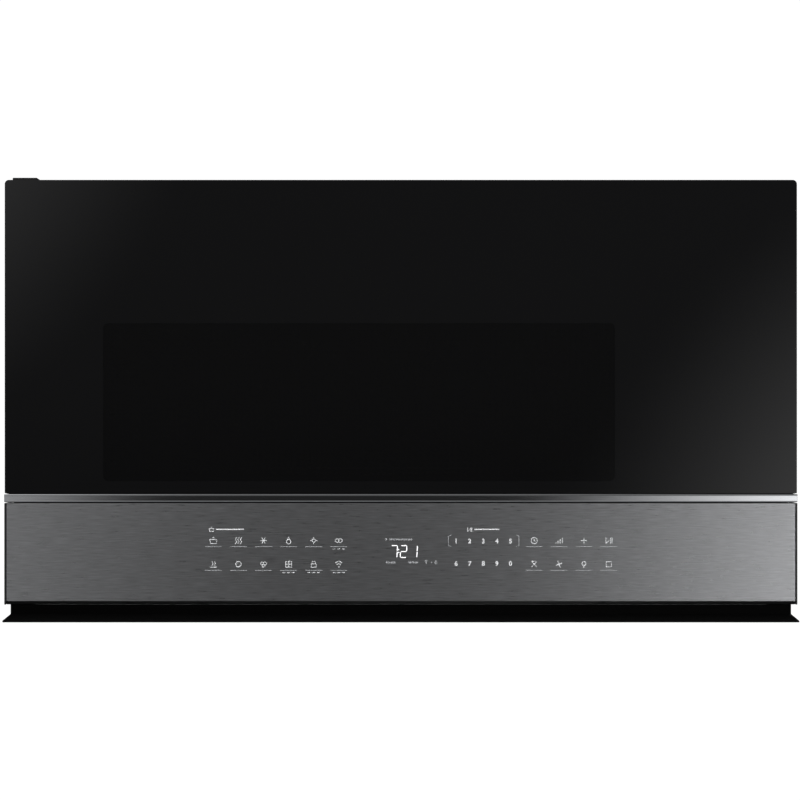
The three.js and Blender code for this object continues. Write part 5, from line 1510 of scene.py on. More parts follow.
BLADE_ROOM = 0.0004
BLADE_SECTION = ((-1, 0), (-0.4, 0.0007), (0.3, 0.0008), (1, 0), (0.3, -0.0005), (-0.4, -0.0004))


def waveguide():
    """A welded flange where the waveguide meets the oven's wall."""
    low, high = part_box("waveguide")
    section = [(inset, low.x + depth) for inset, depth in FLANGE]
    shapes = [surround(low.yz, high.yz, section, "x", FLANGE_CORNER)]
    rows = [((low.y, z), (high.y, z)) for z in (low.z - WELD_INSET, high.z + WELD_INSET)]
    rows += [((y, low.z), (y, high.z)) for y in (low.y - WELD_INSET, high.y + WELD_INSET)]
    for ends in rows:
        start, end = [Vector((low.x + FLANGE_FACE, *point)) for point in ends]
        count = max(2, round((end - start).length / WELD_PITCH))
        places = [start.lerp(end, i / count) for i in range(count + 1)]
        shapes += studs(places, RIGHTWARD, WELD_DIMPLE, RIVET_STEPS)
    detail("waveguide_flange", "galvanised", "waveguide", shapes)


def magnetron():
    """An anode with fins between two ring magnets, its antenna and its filter box."""
    node = "magnetron_core"
    yoke, core = Box("magnetron_yoke"), Box(node)
    y, z, tip = yoke.middle.y, yoke.middle.z, core.low.x
    places = [(yoke.high.x, y + a * YOKE_SCREW, z + b * YOKE_SCREW) for a in (-1, 1) for b in (-1, 1)]
    screws("magnetron_yoke_screws", "magnetron_yoke", places, RIGHTWARD)
    first, last = yoke.low.x + YOKE_SHEET, yoke.high.x - YOKE_SHEET
    turn = pointing((0, y, z), RIGHTWARD)
    end, radius, slope = ANODE
    anode = ((end, first), (radius, first + slope), (radius, last - slope), (end, last))
    detail("magnetron_anode", "copper", node, [lathe(anode, turn, DRUM_STEPS)], instead=True)
    detail("magnetron_fins", "steel", node, magnetron_fins(core, first, last))
    starts = (first + MAGNET_GAP, last - MAGNET_GAP - MAGNET_THICKNESS)
    magnets = [lathe([(r, x + h) for r, h in MAGNET], turn, DRUM_STEPS, closed=True) for x in starts]
    detail("magnetron_magnets", "magnet", node, magnets)
    neck = [(NECK_RADIUS, first + NECK_SEAT), *[(r, tip + h) for r, h in NECK_TOP]]
    detail("magnetron_ceramic", "pink_ceramic", node, [lathe(neck, turn, NECK_STEPS)])
    antenna = [(r, tip + h) for r, h in ANTENNA]
    detail("magnetron_antenna", "steel", node, [lathe(antenna, turn, NECK_STEPS)])
    magnetron_filter(yoke.high.x, core.high.x, y, z)


def magnetron_fins(core, first, last):
    """A stack of thin plates, each with its two sides folded into lips."""
    low, high = core.low, core.high
    start, end, inset = FIN_LIP
    fins = []
    for i in range(FIN_COUNT):
        x = first + i * (last - first - FIN_THICKNESS) / (FIN_COUNT - 1)
        fins.append(pad((x, low.y, low.z), (x + FIN_THICKNESS, high.y, high.z), *FIN_SOFT, "x"))
        for side in (low.y, high.y - FIN_THICKNESS):
            lip = (min(x + end, last), side + FIN_THICKNESS, high.z - inset)
            fins.append(pad((x + start, side, low.z + inset), lip, *LIP_SOFT))
    return fins


def magnetron_filter(start, end, y, z):
    """A pressed box with a rim, and two terminals through its foot."""
    node = "magnetron_core"
    width, height = FILTER_HALF
    low, high = (y - width, z - height), (y + width, z + height)
    rim = rectangle(*[(inset, end + depth) for inset, depth in FILTER_RIM])
    body = pad((start + FILTER_GAP, *low), (end, *high), *FILTER_SOFT, "x")
    detail("magnetron_filter_box", "galvanised", node, [body, surround(low, high, rim, "x", FILTER_SOFT[0])])
    back, aside, drop = BLADES_PLACE
    shapes = pads([(start + back, y + way * aside, z - drop) for way in (-1, 1)], *FILTER_BLADE)
    back, drop = SEAT_PLACE
    shapes += pads([(start + back, y, z - drop)], *FILTER_SEAT)
    detail("magnetron_terminals", "ceramic", node, shapes)


def transformer():
    """Weld seams on the core, and layered coils with paper round them."""
    low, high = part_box("transformer_core")
    middle = (low + high) / 2
    seams = []
    inset, gap, radius = SIDE_SEAM
    for x in (low.x, high.x):
        for z in (low.z + inset, high.z - inset):
            seams.append(tube([(x, low.y + gap, z), (x, high.y - gap, z)], radius))
    inset, gap, radius = END_SEAM
    for x in (low.x + inset, high.x - inset):
        for y in (low.y, high.y):
            seams.append(tube([(x, y, low.z + gap), (x, y, high.z - gap)], radius))
    detail("transformer_welds", "steel", "transformer_core", seams)
    node = "transformer_winding"
    low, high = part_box(node)
    rise = (high.z - low.z - 2 * WIRE_RADIUS) / (WINDING_ROWS - 1)
    coils = []
    for row in range(WINDING_ROWS):
        z = low.z + WIRE_RADIUS + row * rise
        for layer in range(WINDING_LAYERS):
            inset = WIRE_RADIUS * (1 + LAYER_PITCH * layer)
            loop = filleted(corners(low.xy, high.xy, inset, inset), WINDING_CORNER)
            coils.append(tube([(x, y, z) for x, y in loop], WIRE_RADIUS, WIRE_STEPS, closed=True))
    detail("transformer_coils", "copper", node, coils, instead=True)
    inner, outer, gap, corner = FORMER
    former = rectangle((inner, low.z + gap), (outer, high.z - gap))
    shapes = [surround(low.xy, high.xy, former, "z", corner)]
    inner, outer, half, corner = BELT
    belt = rectangle((inner, middle.z - half), (outer, middle.z + half))
    shapes.append(surround(low.xy, high.xy, belt, "z", corner))
    detail("transformer_paper", "paper", node, shapes)


def capacitor():
    """An oval can in a strap, with two pairs of blades, and its diode beside it."""
    node = "capacitor"
    low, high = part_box(node)
    along = Box("transformer_core").middle.y
    x, radius = (low.x + high.x) / 2, (high.x - low.x) / 2
    top = high.z - CAN_NECK
    back = along + CAN_HALF

    def oval(inset, z):
        loop = arc((x, back - radius), radius - inset, 0, 180, CAN_STEPS)
        loop += arc((x, along - CAN_HALF + radius), radius - inset, 180, 180, CAN_STEPS)
        return at_depth(loop, z, "z")

    levels = [oval(inset, low.z + rise) for inset, rise in CAN_FOOT]
    levels += [oval(inset, top + rise) for inset, rise in CAN_TOP]
    detail("capacitor_can", "galvanised", node, [loft(levels)], instead=True)
    from_end, aside = CAN_BLADES
    blades = [along + way * (CAN_HALF - from_end) for way in (-1, 1)]
    seats = studs([(x, y, top) for y in blades], UP, BLADE_SEAT, ROUND_STEPS)
    detail("capacitor_seats", "black_plastic", node, seats)
    middles = [(x + side, y, (top + high.z) / 2) for y in blades for side in (-aside, aside)]
    size = (BLADE_THICKNESS, BLADE_WIDTH, high.z - top)
    detail("capacitor_blades", "steel", node, pads(middles, size, *BLADE_SOFT, "x"))
    band = rectangle(*[(inset, low.z + rise) for inset, rise in STRAP])
    half, overlap, gap, thickness = STRAP_FOOT
    end = (x + half, high.y - gap, low.z + thickness)
    foot = pad((x - half, back - overlap, low.z), end, *STRAP_SOFT)
    detail("capacitor_strap", "steel", node, [loft([oval(*level) for level in band], closed=True), foot])
    diode = studs([(x, high.y - DIODE_INSET, low.z)], UP, DIODE, ROUND_STEPS)
    detail("high_voltage_diode", "black_gloss", node, diode)


def mains_choke(centre, radius, height):
    """A ring core lying on the filter board, wound with wire on two sides."""
    node = "noise_filter_board"
    turn = pointing(centre, FORWARD)
    inner, outer = radius / 2, radius - 2 * CHOKE_WIRE
    core = filleted(rectangle((inner, 0), (outer, height)), CHOKE_CORNER, 2)
    detail("mains_choke_core", "magnet", node, [lathe(core, turn, CHOKE_STEPS, closed=True)])
    grown = rectangle((inner - CHOKE_WIRE, -CHOKE_WIRE), (outer + CHOKE_WIRE, height + CHOKE_WIRE))
    loop = filleted(grown, CHOKE_LOOP_CORNER, 2)
    each = CHOKE_TURNS // 2
    first, spread = CHOKE_SPREAD
    wires = []
    for i in range(CHOKE_TURNS):
        angle = 180 * (i // each) + first + spread * (i % each) / (each - 1)
        spin = turn @ Matrix.Rotation(math.radians(angle), 4, "Z")
        wires.append(tube([spin @ Vector((r, 0, h)) for r, h in loop], CHOKE_WIRE, WIRE_STEPS, closed=True))
    detail("mains_choke_wire", "copper", node, wires)


def noise_filter():
    """A board on four posts, with a choke, two capacitors, a fuse, tabs and solder on its back."""
    node = "noise_filter_board"
    box = Box(node)
    low, high, x, z = box.low, box.high, box.middle.x, box.middle.z
    back = high.y - FILTER_BOARD_GAP
    front = back - BOARD_SHEET
    sheet = pad((low.x, front, low.z), (high.x, back, high.z), *BOARD_SOFT, "y")
    detail("noise_filter_sheet", "board", node, [sheet], instead=True)
    aside, off, radius, height = CHOKE
    mains_choke((x + aside, front + off, z), radius, height)
    middles = [(x + dx, front - CAPACITOR[0][1] / 2, z) for dx in CAPACITORS_X]
    detail("mains_capacitors", "yellow", node, pads(middles, *CAPACITOR))
    spots = corners(low.xz, high.xz, POST_INSET, POST_INSET)
    shapes = studs([(u, back, v) for u, v in spots], BACKWARD, POST)
    shapes += studs([(u, front, v) for u, v in spots], FORWARD, POST_CLIP)
    shapes += pads([(x, front - PLUG[0][1] / 2, high.z - PLUG_DROP)], *PLUG)
    detail("noise_filter_posts", "white_plastic", node, shapes)
    aside, reach, off, rise = FUSE
    shapes = []
    for way in (-1, 1):
        shapes += studs([(x + aside + way * reach, front - off, low.z + rise)], (way, 0, 0), FUSE_CAP)
    columns = [*[low.x + inset for inset in TABS_LEFT], high.x - TAB_RIGHT]
    shapes += pads([(u, front - TAB[0][1] / 2, low.z + TAB_RISE) for u in columns], *TAB)
    width, height = SOLDER_INSET
    places = []
    for _ in range(SOLDER_COUNT):
        u = random.uniform(low.x + width, high.x - width)
        places.append((u, back, random.uniform(low.z + height, high.z - height)))
    shapes += studs(places, BACKWARD, SOLDER, SOLDER_STEPS)
    detail("noise_filter_metal", "steel", node, shapes)


def fan_blade(blade, radius, depth):
    """One cambered blade's rings, with a pitch that eases towards its tip."""
    steepest, eased = BLADE_PITCH
    chord, shift = BLADE_CHORD
    rings = []
    for k in range(BLADE_SPANS + 1):
        r = FAN_CORE + (radius - FAN_CORE) * k / BLADE_SPANS
        sweep = 2 * math.pi * blade / FAN_BLADES + BLADE_SWEEP * (k / BLADE_SPANS) ** 2
        pitch = math.radians(steepest - eased * k / BLADE_SPANS)
        ring = []
        for along, thick in BLADE_SECTION:
            run = along * chord + shift * k
            lift = thick + BLADE_CAMBER * (1 - along * along)
            turn = sweep + (run * math.cos(pitch) - lift * math.sin(pitch)) / r
            height = depth / 2 + run * math.sin(pitch) + lift * math.cos(pitch)
            height = min(max(height, BLADE_ROOM), depth - BLADE_ROOM)
            ring.append((r * math.cos(turn), r * math.sin(turn), height))
        rings.append(ring)
    return rings


def cooling_fan():
    """Screw holes through the frame's corners, and a hub with seven blades."""
    box = Box("cooling_fan_frame")
    x, y, z = box.middle.x, box.low.y - THROUGH, box.middle.z
    reach, radius, steps = FAN_HOLE
    places = [(x + a * reach, y, z + b * reach) for a in (-1, 1) for b in (-1, 1)]
    dress("cooling_fan_frame", holes(places, BACKWARD, radius, 2 * (box.half.y + THROUGH), steps))
    box = Box("cooling_fan_rotor")
    depth = 2 * box.half.y
    turn = pointing((box.middle.x, box.low.y, box.middle.z), BACKWARD)
    hub = [*FAN_HUB, *[(r, depth + h) for r, h in FAN_HUB_TOP], *FAN_HUB_INSIDE]
    shapes = [lathe(hub, turn, DRUM_STEPS), lathe(FAN_LABEL, turn, ROUND_STEPS)]
    shapes += [loft(fan_blade(blade, box.half.x, depth), turn) for blade in range(FAN_BLADES)]
    detail("cooling_fan_blades", "black_plastic", "cooling_fan_rotor", shapes, instead=True)


def power():
    waveguide()
    magnetron()
    transformer()
    capacitor()
    noise_filter()
    cooling_fan()


# ---------------------------------------------------------------- ventilation

BLOWER_Y = -0.110
INLET_RIM = ((0.0210, -0.0008), (0.0222, -0.0008), (0.0236, 0.0003), (0.0222, 0.0016), (0.0205, 0.0004))
SEAM_RIVET = ((0.002, -0.0002), (0.002, 0.0005), (0.0012, 0.0009))
RIVET_INSET = 0.004
RIVET_ARC = (200, 140, 4)  # start and sweep in degrees, and steps
MOTOR_BELL = ((0.0271, 0.020), (0.0278, 0.021), (0.0278, 0.030), (0.0262, 0.0352), (0.0262, 0.020))
BELL_SPOKES = 10
SPOKE_ENDS, SPOKE_PLACE, SPOKE_RADIUS = (0.010, 0.021), 0.036, 0.0012
WHEEL_STEPS = 48
WHEEL_START = 0.0522  # inner end of a wheel from the unit's middle
WHEEL_GAP = 0.0002
WHEEL_BLADES = 30
WHEEL_BLADE = (0.0048, 0.0044, 0.09, 0.0004)  # root under the rim, depth, sweep and half its thickness
BLADE_OUTLINE = ((0, 1), (0.5, 1), (1, 1), (1, -1), (0.5, -1), (0, -1))  # share of the depth, and side
PLATE_BORE, PLATE_EDGE, PLATE_THICKNESS = 0.006, (0.0005, 0.0008), 0.0015
WHEEL_RING = ((-0.005, 0), (-0.0003, 0), (0, -0.0007), (-0.0003, -0.0014), (-0.005, -0.0014))
WHEEL_HUB = ((0.0032, 0), (0.007, 0), (0.0066, 0.014), (0.0032, 0.014))
SHAFT_RADIUS = 0.003
FLAP_RIBS = ((-0.115, -0.008), (0.008, 0.115))  # their ends
FLAP_RIB_INSETS = (0.018, 0.022)  # the two rows from the flap's front and back
FLAP_RIB = (0.0035, -0.0005, 0.0009)  # half its width, its foot and its top
FLAP_RIB_SOFT = (0.0034, 0.0006)
FLAP_FACE = 0.0006
SEAL_HALF = 0.1255
SEAL = (0.0006, 0.0036, -0.0018, -0.0012)  # front, back, foot and top
SEAL_SOFT = (0.001, 0.0002)
LOUVRES = 4
LOUVRE_ROOM = 0.009  # grille's border before the first louvre
LOUVRE_SHIFT = 0.15
LOUVRE = ((0, 0), (0.0009, 0), (0.0034, 1), (0.0025, 1))  # y, and 0 at its foot or 1 at its top
LOUVRE_FOOT, LOUVRE_TOP, LOUVRE_END = 0.0002, 0.0006, 0.007
GRILLE_SCREW_INSET = 0.0045
STRAND = 0.00035  # radius of a mesh's wire
TIN_FRAME = ((0, 0.0006), (0.0006, 0), (0.006, 0), (0.006, 0.001), (0.0012, 0.001))  # its lower half
TIN_CORNER = 0.003
TIN_GRID_ANGLES, TIN_GRID_PITCH, TIN_GRID_DEPTH, TIN_GRID_INSET = (0.7, -0.7), 0.008, 0.001, 0.005
BED_INSET, BED_DEPTH, BED_CORNER = 0.0015, 0.0035, 0.002
GRANULES = 520
GRANULE_INSET, GRANULE_DROP = 0.004, 0.0006
GRANULE_RADII = (0.0016, 0.0026)
GRANULE_TURNS = (0, 6)  # radians
MESH_FRAME = ((0, 0.001), (0.001, 0), (0.0085, 0), (0.0095, 0.001), (0.0085, 0.0016), (0.0016, 0.0016))
MESH_CORNER = 0.004
MESH_LAYERS = ((0.6, 0.0042), (-0.6, 0.0042), (0.9, 0.0056), (-0.9, 0.0056)) * 2  # angle and pitch
MESH_INSET, MESH_DEPTH = 0.002, 0.0022
PULL = ((-0.009, 0.003), (0.009, 0.003), (0.007, -0.009), (-0.007, -0.009))
PULL_INSET, PULL_RISE, PULL_RADIUS, PULL_CORNER = 0.013, 0.0012, 0.0009, 0.003
LENS_STRIPES = 26
STRIPE_DEPTH = 0.0012
LENS_INSET, LENS_HEIGHT = 0.006, 0.0042
HOUSING_FOOT = 0.0020  # housing's foot under the lens's top
HOUSING = ((0, -0.003), (0.003, 0), (0.020, 0), (0.020, -0.0012), (0.004, -0.0012), (0.0014, -0.004))
HOUSING_WALL, HOUSING_CORNER = 0.0014, 0.004
LID_INSET, LID_THICKNESS, LID_SOFT = 0.018, 0.0012, (0.002, 0.0003)
LAMP_BOARD = ((0.060, 0.018, 0.0015), 0.002, 0.0003)
LAMP_BOARD_DROP = 0.00425
DIODES = 6
DIODE_PITCH = 0.010
DIODE_DROP = 0.0057
LAMP_DIODE = ((0.0036, 0.0036, 0.0014), 0.0005, 0.0003)


def blower():
    """Inlet rims and rivets on both scrolls, a bell with spokes on each end of the motor, and the wheels."""
    for side in SIDES:
        node = "blower_scroll_" + side
        box = Box(node)
        y, z = box.middle.yz
        spots = arc((y, z), box.half.z - RIVET_INSET, *RIVET_ARC)
        shapes = []
        for x, way in ((box.low.x, LEFTWARD), (box.high.x, RIGHTWARD)):
            shapes.append(lathe(INLET_RIM, pointing((x, y, z), way), DRUM_STEPS, closed=True))
            shapes += studs([(x, u, v) for u, v in spots], way, SEAM_RIVET, RIVET_STEPS)
        detail(node + "_inlets", "galvanised", node, shapes)
    turn = pointing((0, BLOWER_Y, Box("blower_rotor").middle.z), RIGHTWARD)
    shapes = []
    for way in (-1, 1):
        shapes.append(lathe([(r, way * x) for r, x in MOTOR_BELL], turn, WHEEL_STEPS, closed=True))
        for k in range(BELL_SPOKES):
            spin = turn @ Matrix.Rotation(2 * math.pi * k / BELL_SPOKES, 4, "Z")
            ends = [spin @ Vector((r, 0, way * SPOKE_PLACE)) for r in SPOKE_ENDS]
            shapes.append(tube(ends, SPOKE_RADIUS, WIRE_STEPS))
    detail("blower_motor_bells", "galvanised", "blower_motor", shapes)
    blower_wheels(turn)


def wheel_blade(k, radius, near, far):
    """One forward-curved blade's rings."""
    under, deep, sweep, half = WHEEL_BLADE
    rings = []
    for x in (near, far):
        ring = []
        for step, side in BLADE_OUTLINE:
            r = radius - under + deep * step
            angle = 2 * math.pi * k / WHEEL_BLADES + sweep * step * step + side * half / r
            ring.append((r * math.cos(angle), r * math.sin(angle), x))
        rings.append(ring)
    return rings


def blower_wheels(turn):
    """A shaft with two wheels of forward-curved blades between a plate and a ring."""
    box = Box("blower_rotor")
    radius, end = box.half.z, box.high.x
    edge, rise = PLATE_EDGE
    plate = ((PLATE_BORE, 0), (radius - edge, 0), (radius, rise))
    plate += ((radius - edge, PLATE_THICKNESS), (PLATE_BORE, PLATE_THICKNESS))
    ring = [(radius + r, h) for r, h in WHEEL_RING]
    shapes = []
    for way in (-1, 1):
        near, far = way * WHEEL_START, way * (end - WHEEL_GAP)
        for profile, start, steps in (
            (plate, near, WHEEL_STEPS),
            (ring, far, WHEEL_STEPS),
            (WHEEL_HUB, near, ROUND_STEPS),
        ):
            shapes.append(lathe([(r, start + way * h) for r, h in profile], turn, steps, closed=True))
        for k in range(WHEEL_BLADES):
            shapes.append(loft(wheel_blade(k, radius, near + way * EDGE, far - way * EDGE), turn))
    detail("blower_wheels", "black_plastic", "blower_rotor", shapes, instead=True)
    start, tip = box.low.x, SHAFT_RADIUS - EDGE
    shaft = ((tip, start), (SHAFT_RADIUS, start + EDGE), (SHAFT_RADIUS, end - EDGE), (tip, end))
    detail("blower_shaft", "steel", "blower_rotor", [lathe(shaft, turn, ROUND_STEPS)])


def damper():
    """Pressed ribs and a rubber seal on the damper's flap."""
    node = "damper_flap"
    box = Box(node)
    low, high, z = box.low, box.high, box.middle.z + FLAP_FACE
    half, foot, top = FLAP_RIB
    shapes = []
    for y in (low.y + FLAP_RIB_INSETS[0], high.y - FLAP_RIB_INSETS[1]):
        for left, right in FLAP_RIBS:
            shapes.append(pad((left, y - half, z + foot), (right, y + half, z + top), *FLAP_RIB_SOFT))
    detail("damper_flap_ribs", "galvanised", node, shapes)
    front, back, foot, top = SEAL
    start, end = (-SEAL_HALF, low.y + front, z + foot), (SEAL_HALF, low.y + back, z + top)
    detail("damper_seal", "rubber", node, [pad(start, end, *SEAL_SOFT)])


def top_grille():
    """Sloping louvres, and a screw at each end."""
    node = "vent_grille"
    box = Box(node)
    low, high = box.low, box.high
    pitch = 2 * (box.half.y - LOUVRE_ROOM) / LOUVRES
    levels = (low.z + LOUVRE_FOOT, high.z - LOUVRE_TOP)
    shapes = []
    for k in range(LOUVRES):
        y = low.y + LOUVRE_ROOM + (k + LOUVRE_SHIFT) * pitch
        outline = [(y + dy, levels[level]) for dy, level in LOUVRE]
        shapes.append(prism(outline, "x", low.x + LOUVRE_END, high.x - LOUVRE_END))
    detail("vent_louvres", "black_plastic", node, shapes)
    ends = (low.x + GRILLE_SCREW_INSET, high.x - GRILLE_SCREW_INSET)
    screws("vent_grille_screws", node, [(x, box.middle.y, high.z) for x in ends], UP, TOP_SCREW)


def even_section(lower, foot, top):
    """A closed section from its lower half, whose points are (inset, rise from the foot)."""
    upper = [(inset, top - rise) for inset, rise in lower]
    return upper + [(inset, foot + rise) for inset, rise in reversed(lower)]


def mesh_layer(low, high, inset, angle, pitch, z):
    """Parallel wires across a rectangle drawn in by an inset."""
    start, end = corners(low, high, inset, inset)[::2]
    return strands(start, end, angle, pitch, z, STRAND)


def charcoal_filter():
    """A tin frame with a grid of wire on both faces, filled with granules."""
    node = "charcoal_filter"
    low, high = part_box(node)
    foot, top = low.z, high.z
    shapes = [surround(low.xy, high.xy, even_section(TIN_FRAME, foot, top), "z", TIN_CORNER)]
    for z in (foot + TIN_GRID_DEPTH, top - TIN_GRID_DEPTH):
        for angle in TIN_GRID_ANGLES:
            shapes += mesh_layer(low.xy, high.xy, TIN_GRID_INSET, angle, TIN_GRID_PITCH, z)
    detail("charcoal_filter_frame", "galvanised", node, shapes, instead=True)
    level = top - BED_DEPTH
    start, end = corners(low.xy, high.xy, BED_INSET, BED_INSET)[::2]
    bm = joined([pad((*start, foot + BED_INSET), (*end, level), BED_CORNER, EDGE)])
    start, end = corners(low.xy, high.xy, GRANULE_INSET, GRANULE_INSET)[::2]
    for _ in range(GRANULES):
        x = random.uniform(start[0], end[0])
        y = random.uniform(start[1], end[1])
        size = random.uniform(*GRANULE_RADII)
        turn = Matrix.Rotation(random.uniform(*GRANULE_TURNS), 4, (random.random(), random.random(), 1))
        place = Matrix.Translation((x, y, level - GRANULE_DROP)) @ turn
        bmesh.ops.create_icosphere(bm, subdivisions=1, radius=size, matrix=place)
    add_piece("charcoal_granules", finished(bm, "charcoal_granules"), "charcoal", node)


def grease_filter(node):
    """A folded rim, eight layers of crossed wire, and a pull."""
    low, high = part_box(node)
    foot, top = low.z, high.z
    rim = surround(low.xy, high.xy, even_section(MESH_FRAME, foot, top), "z", MESH_CORNER)
    detail(node + "_rim", "filter_mesh", node, [rim], instead=True)
    step = (top - foot - 2 * MESH_DEPTH) / (len(MESH_LAYERS) - 1)
    shapes = []
    for i, (angle, pitch) in enumerate(MESH_LAYERS):
        shapes += mesh_layer(low.xy, high.xy, MESH_INSET, angle, pitch, foot + MESH_DEPTH + i * step)
    detail(node + "_mesh", "filter_mesh", node, shapes)
    x, y, z = (low.x + high.x) / 2, high.y - PULL_INSET, foot + PULL_RISE
    loop = filleted([(x + dx, y + dy) for dx, dy in PULL], PULL_CORNER)
    pull = tube([(u, v, z) for u, v in loop], PULL_RADIUS, closed=True)
    detail(node + "_pull", "steel", node, [pull])


def cooktop_lamp(node):
    """A striped lens in a white housing, under a board with six diodes."""
    box = Box(node)
    low, high, middle = box.low, box.high, box.middle
    left, right = low.x + LENS_INSET, high.x - LENS_INSET
    foot, seat, top = low.z, low.z + LENS_HEIGHT, high.z
    pitch = (right - left) / LENS_STRIPES
    outline = [(right, seat), (left, seat)]
    for k in range(LENS_STRIPES):
        outline += [(left + k * pitch, foot + STRIPE_DEPTH), (left + (k + 0.5) * pitch, foot)]
    outline.append((right, foot + STRIPE_DEPTH))
    lens = prism(outline, "y", low.y + LENS_INSET, high.y - LENS_INSET)
    detail(node + "_lens", "lamp_lens", node, [lens])
    sill = seat - HOUSING_FOOT
    section = [(0, sill), *[(inset, top + rise) for inset, rise in HOUSING], (HOUSING_WALL, sill)]
    start, end = corners(low.xy, high.xy, LID_INSET, LID_INSET)[::2]
    lid = pad((*start, top - LID_THICKNESS), (*end, top), *LID_SOFT)
    shapes = [surround(low.xy, high.xy, section, "z", HOUSING_CORNER), lid]
    detail(node + "_housing", "white_plastic", node, shapes, instead=True)
    board = pads([(middle.x, middle.y, top - LAMP_BOARD_DROP)], *LAMP_BOARD)
    detail(node + "_lamp_board", "board", node, board)
    first = middle.x - DIODE_PITCH * (DIODES - 1) / 2
    middles = [(first + k * DIODE_PITCH, middle.y, top - DIODE_DROP) for k in range(DIODES)]
    detail(node + "_diodes", "lit", node, pads(middles, *LAMP_DIODE))


def ventilation():
    blower()
    damper()
    top_grille()
    charcoal_filter()
    for side in SIDES:
        grease_filter("grease_filter_" + side)
        cooktop_lamp("cooktop_lamp_" + side)


# ---------------------------------------------------------------- controls behind the panel

RELAYS_X = (-0.149, -0.109, -0.069, 0.091, 0.131)
RELAY_WIDTH, RELAY_HEIGHT, RELAY_SOFT = 0.018, 0.020, (0.0008, 0.0006)
RELAY_ROOM = 0.012  # small parts keep so far from a relay's middle
CHIP_DEPTH, CHIP_SOFT = 0.0028, (0.0004, 0.0004)
PIN_PITCH = 0.00127
# Half a pin's width, its depth, and its ends within and outside the chip's side.
PIN = (0.0003, 0.0009, 0.0002, 0.0015)
CHIPS = (  # x, z, width and height, from the board's middle
    (0.0, 0.004, 0.024, 0.014),
    (0.040, 0.016, 0.014, 0.006),
    (-0.036, -0.020, 0.012, 0.006),
    (0.045, -0.020, 0.016, 0.008),
    (0.170, 0.010, 0.012, 0.006),
    (-0.175, -0.012, 0.012, 0.006),
)
SMALL_PARTS = 90
SMALL_PART = (0.0012, 0.0006)  # half its length and width
SMALL_DEPTH = 0.0008
SMALL_INSET = (0.012, 0.006)
CANS = (  # x, z, radius and height
    (0.065, 0.020, 0.005, 0.013),
    (0.065, 0.006, 0.005, 0.013),
    (0.066, -0.008, 0.004, 0.010),
    (-0.040, 0.022, 0.004, 0.009),
    (0.185, -0.020, 0.005, 0.012),
)
CAN_WAIST = ((0, 0), (0, 0.001), (-0.0003, 0.0015), (0, 0.002))  # from the can's radius, and its foot
CAN_EDGE = 0.0006
CONNECTORS = (  # x, z and width
    (-0.195, 0.022, 0.016),
    (-0.195, -0.022, 0.016),
    (0.020, 0.030, 0.030),
    (0.165, 0.030, 0.022),
    (0.110, -0.030, 0.024),
)
CONNECTOR_DEPTH, CONNECTOR_HEIGHT, CONNECTOR_SOFT = 0.008, 0.006, (0.0006, 0.0004)
BUZZER_PLACE = (-0.020, -0.022)
BUZZER = ((0.007, 0), (0.007, 0.008), (0.0062, 0.009), (0.0016, 0.009), (0.0014, 0.007))
BUZZER_STEPS = 28
TOUCH_PAD = ((0.0012, -0.0001), (0.0012, 0.0002), (0.0006, 0.0004))
TOUCH_PADS = 40
TOUCH_INSET = (0.010, 0.003)
TOUCH_STEPS = 10
DISPLAY_SOFT = (0.0015, 0.0008)
DISPLAY_FRAME = (-0.0003, 0.0012, 0.002, 0.001, 0.0016)  # insets, gaps to front and back, corner
DISPLAY_PINS, PINS_PITCH, PINS_START, PINS_RISE = 14, 0.004, -0.026, 0.002
DISPLAY_PIN = (-0.0005, 0.0003)  # its ends from the module's back
DISPLAY_PIN_RADIUS = 0.0004
INTERLOCK_SCREWS = (0.008, 0.0045, 0.002, 0.0024)  # from the ends, side and front, and radius
BRACKET_RIB = ((0.002, 0.002), (0.009, 0.002), (0.002, 0.020))  # from the bracket's corner
BRACKET_RIBS = 8
BRACKET_RIB_HALF = 0.0006
RIB_ROOM = 0.012  # ribs keep so far from a switch's middle
SWITCH_BLADES = (-0.005, 0.0, 0.005)
SWITCH_BLADE_GAP = 0.002
SWITCH_BLADE = ((0.0006, 0.006, 0.0032), 0.0006, 0.0001, "x")
SWITCH_RIVETS = (0.006, 0.004, 0.0055)  # from the switch's front and back, and its middle
SWITCH_RIVET = ((0.0016, -0.0005), (0.0016, 0.0003), (0.0008, 0.0005))


def chip_pins(x, y, z, width, height):
    """The pins along a flat chip's two long sides."""
    half, depth, start, end = PIN
    pins = []
    for i in range(1, int(width / PIN_PITCH)):
        middle = x - width / 2 + PIN_PITCH * i
        for side in (-1, 1):
            foot, top = sorted(z + side * (height / 2 + reach) for reach in (-start, end))
            pins.append(block((middle - half, y, foot), (middle + half, y + depth, top)))
    return pins


def control_chips(low, high, back, middle):
    """Chips with pins, and many small parts scattered between the relays."""
    bodies, pins = [], []
    for dx, dz, width, height in CHIPS:
        x, z = middle.x + dx, middle.z + dz
        bodies += pads([(x, back + CHIP_DEPTH / 2, z)], (width, CHIP_DEPTH, height), *CHIP_SOFT, "y")
        pins += chip_pins(x, back, z, width, height)
    start, end = corners(low.xz, high.xz, *SMALL_INSET)[::2]
    for _ in range(SMALL_PARTS):
        x = random.uniform(start[0], end[0])
        z = random.uniform(start[1], end[1])
        if min(abs(x - relay) for relay in RELAYS_X) > RELAY_ROOM:
            a, b = SMALL_PART if random.random() < 0.5 else SMALL_PART[::-1]
            bodies.append(block((x - a, back, z - b), (x + a, back + SMALL_DEPTH, z + b)))
    detail("control_chips", "black_plastic", "control_board", bodies)
    detail("control_chip_pins", "steel", "control_board", pins)


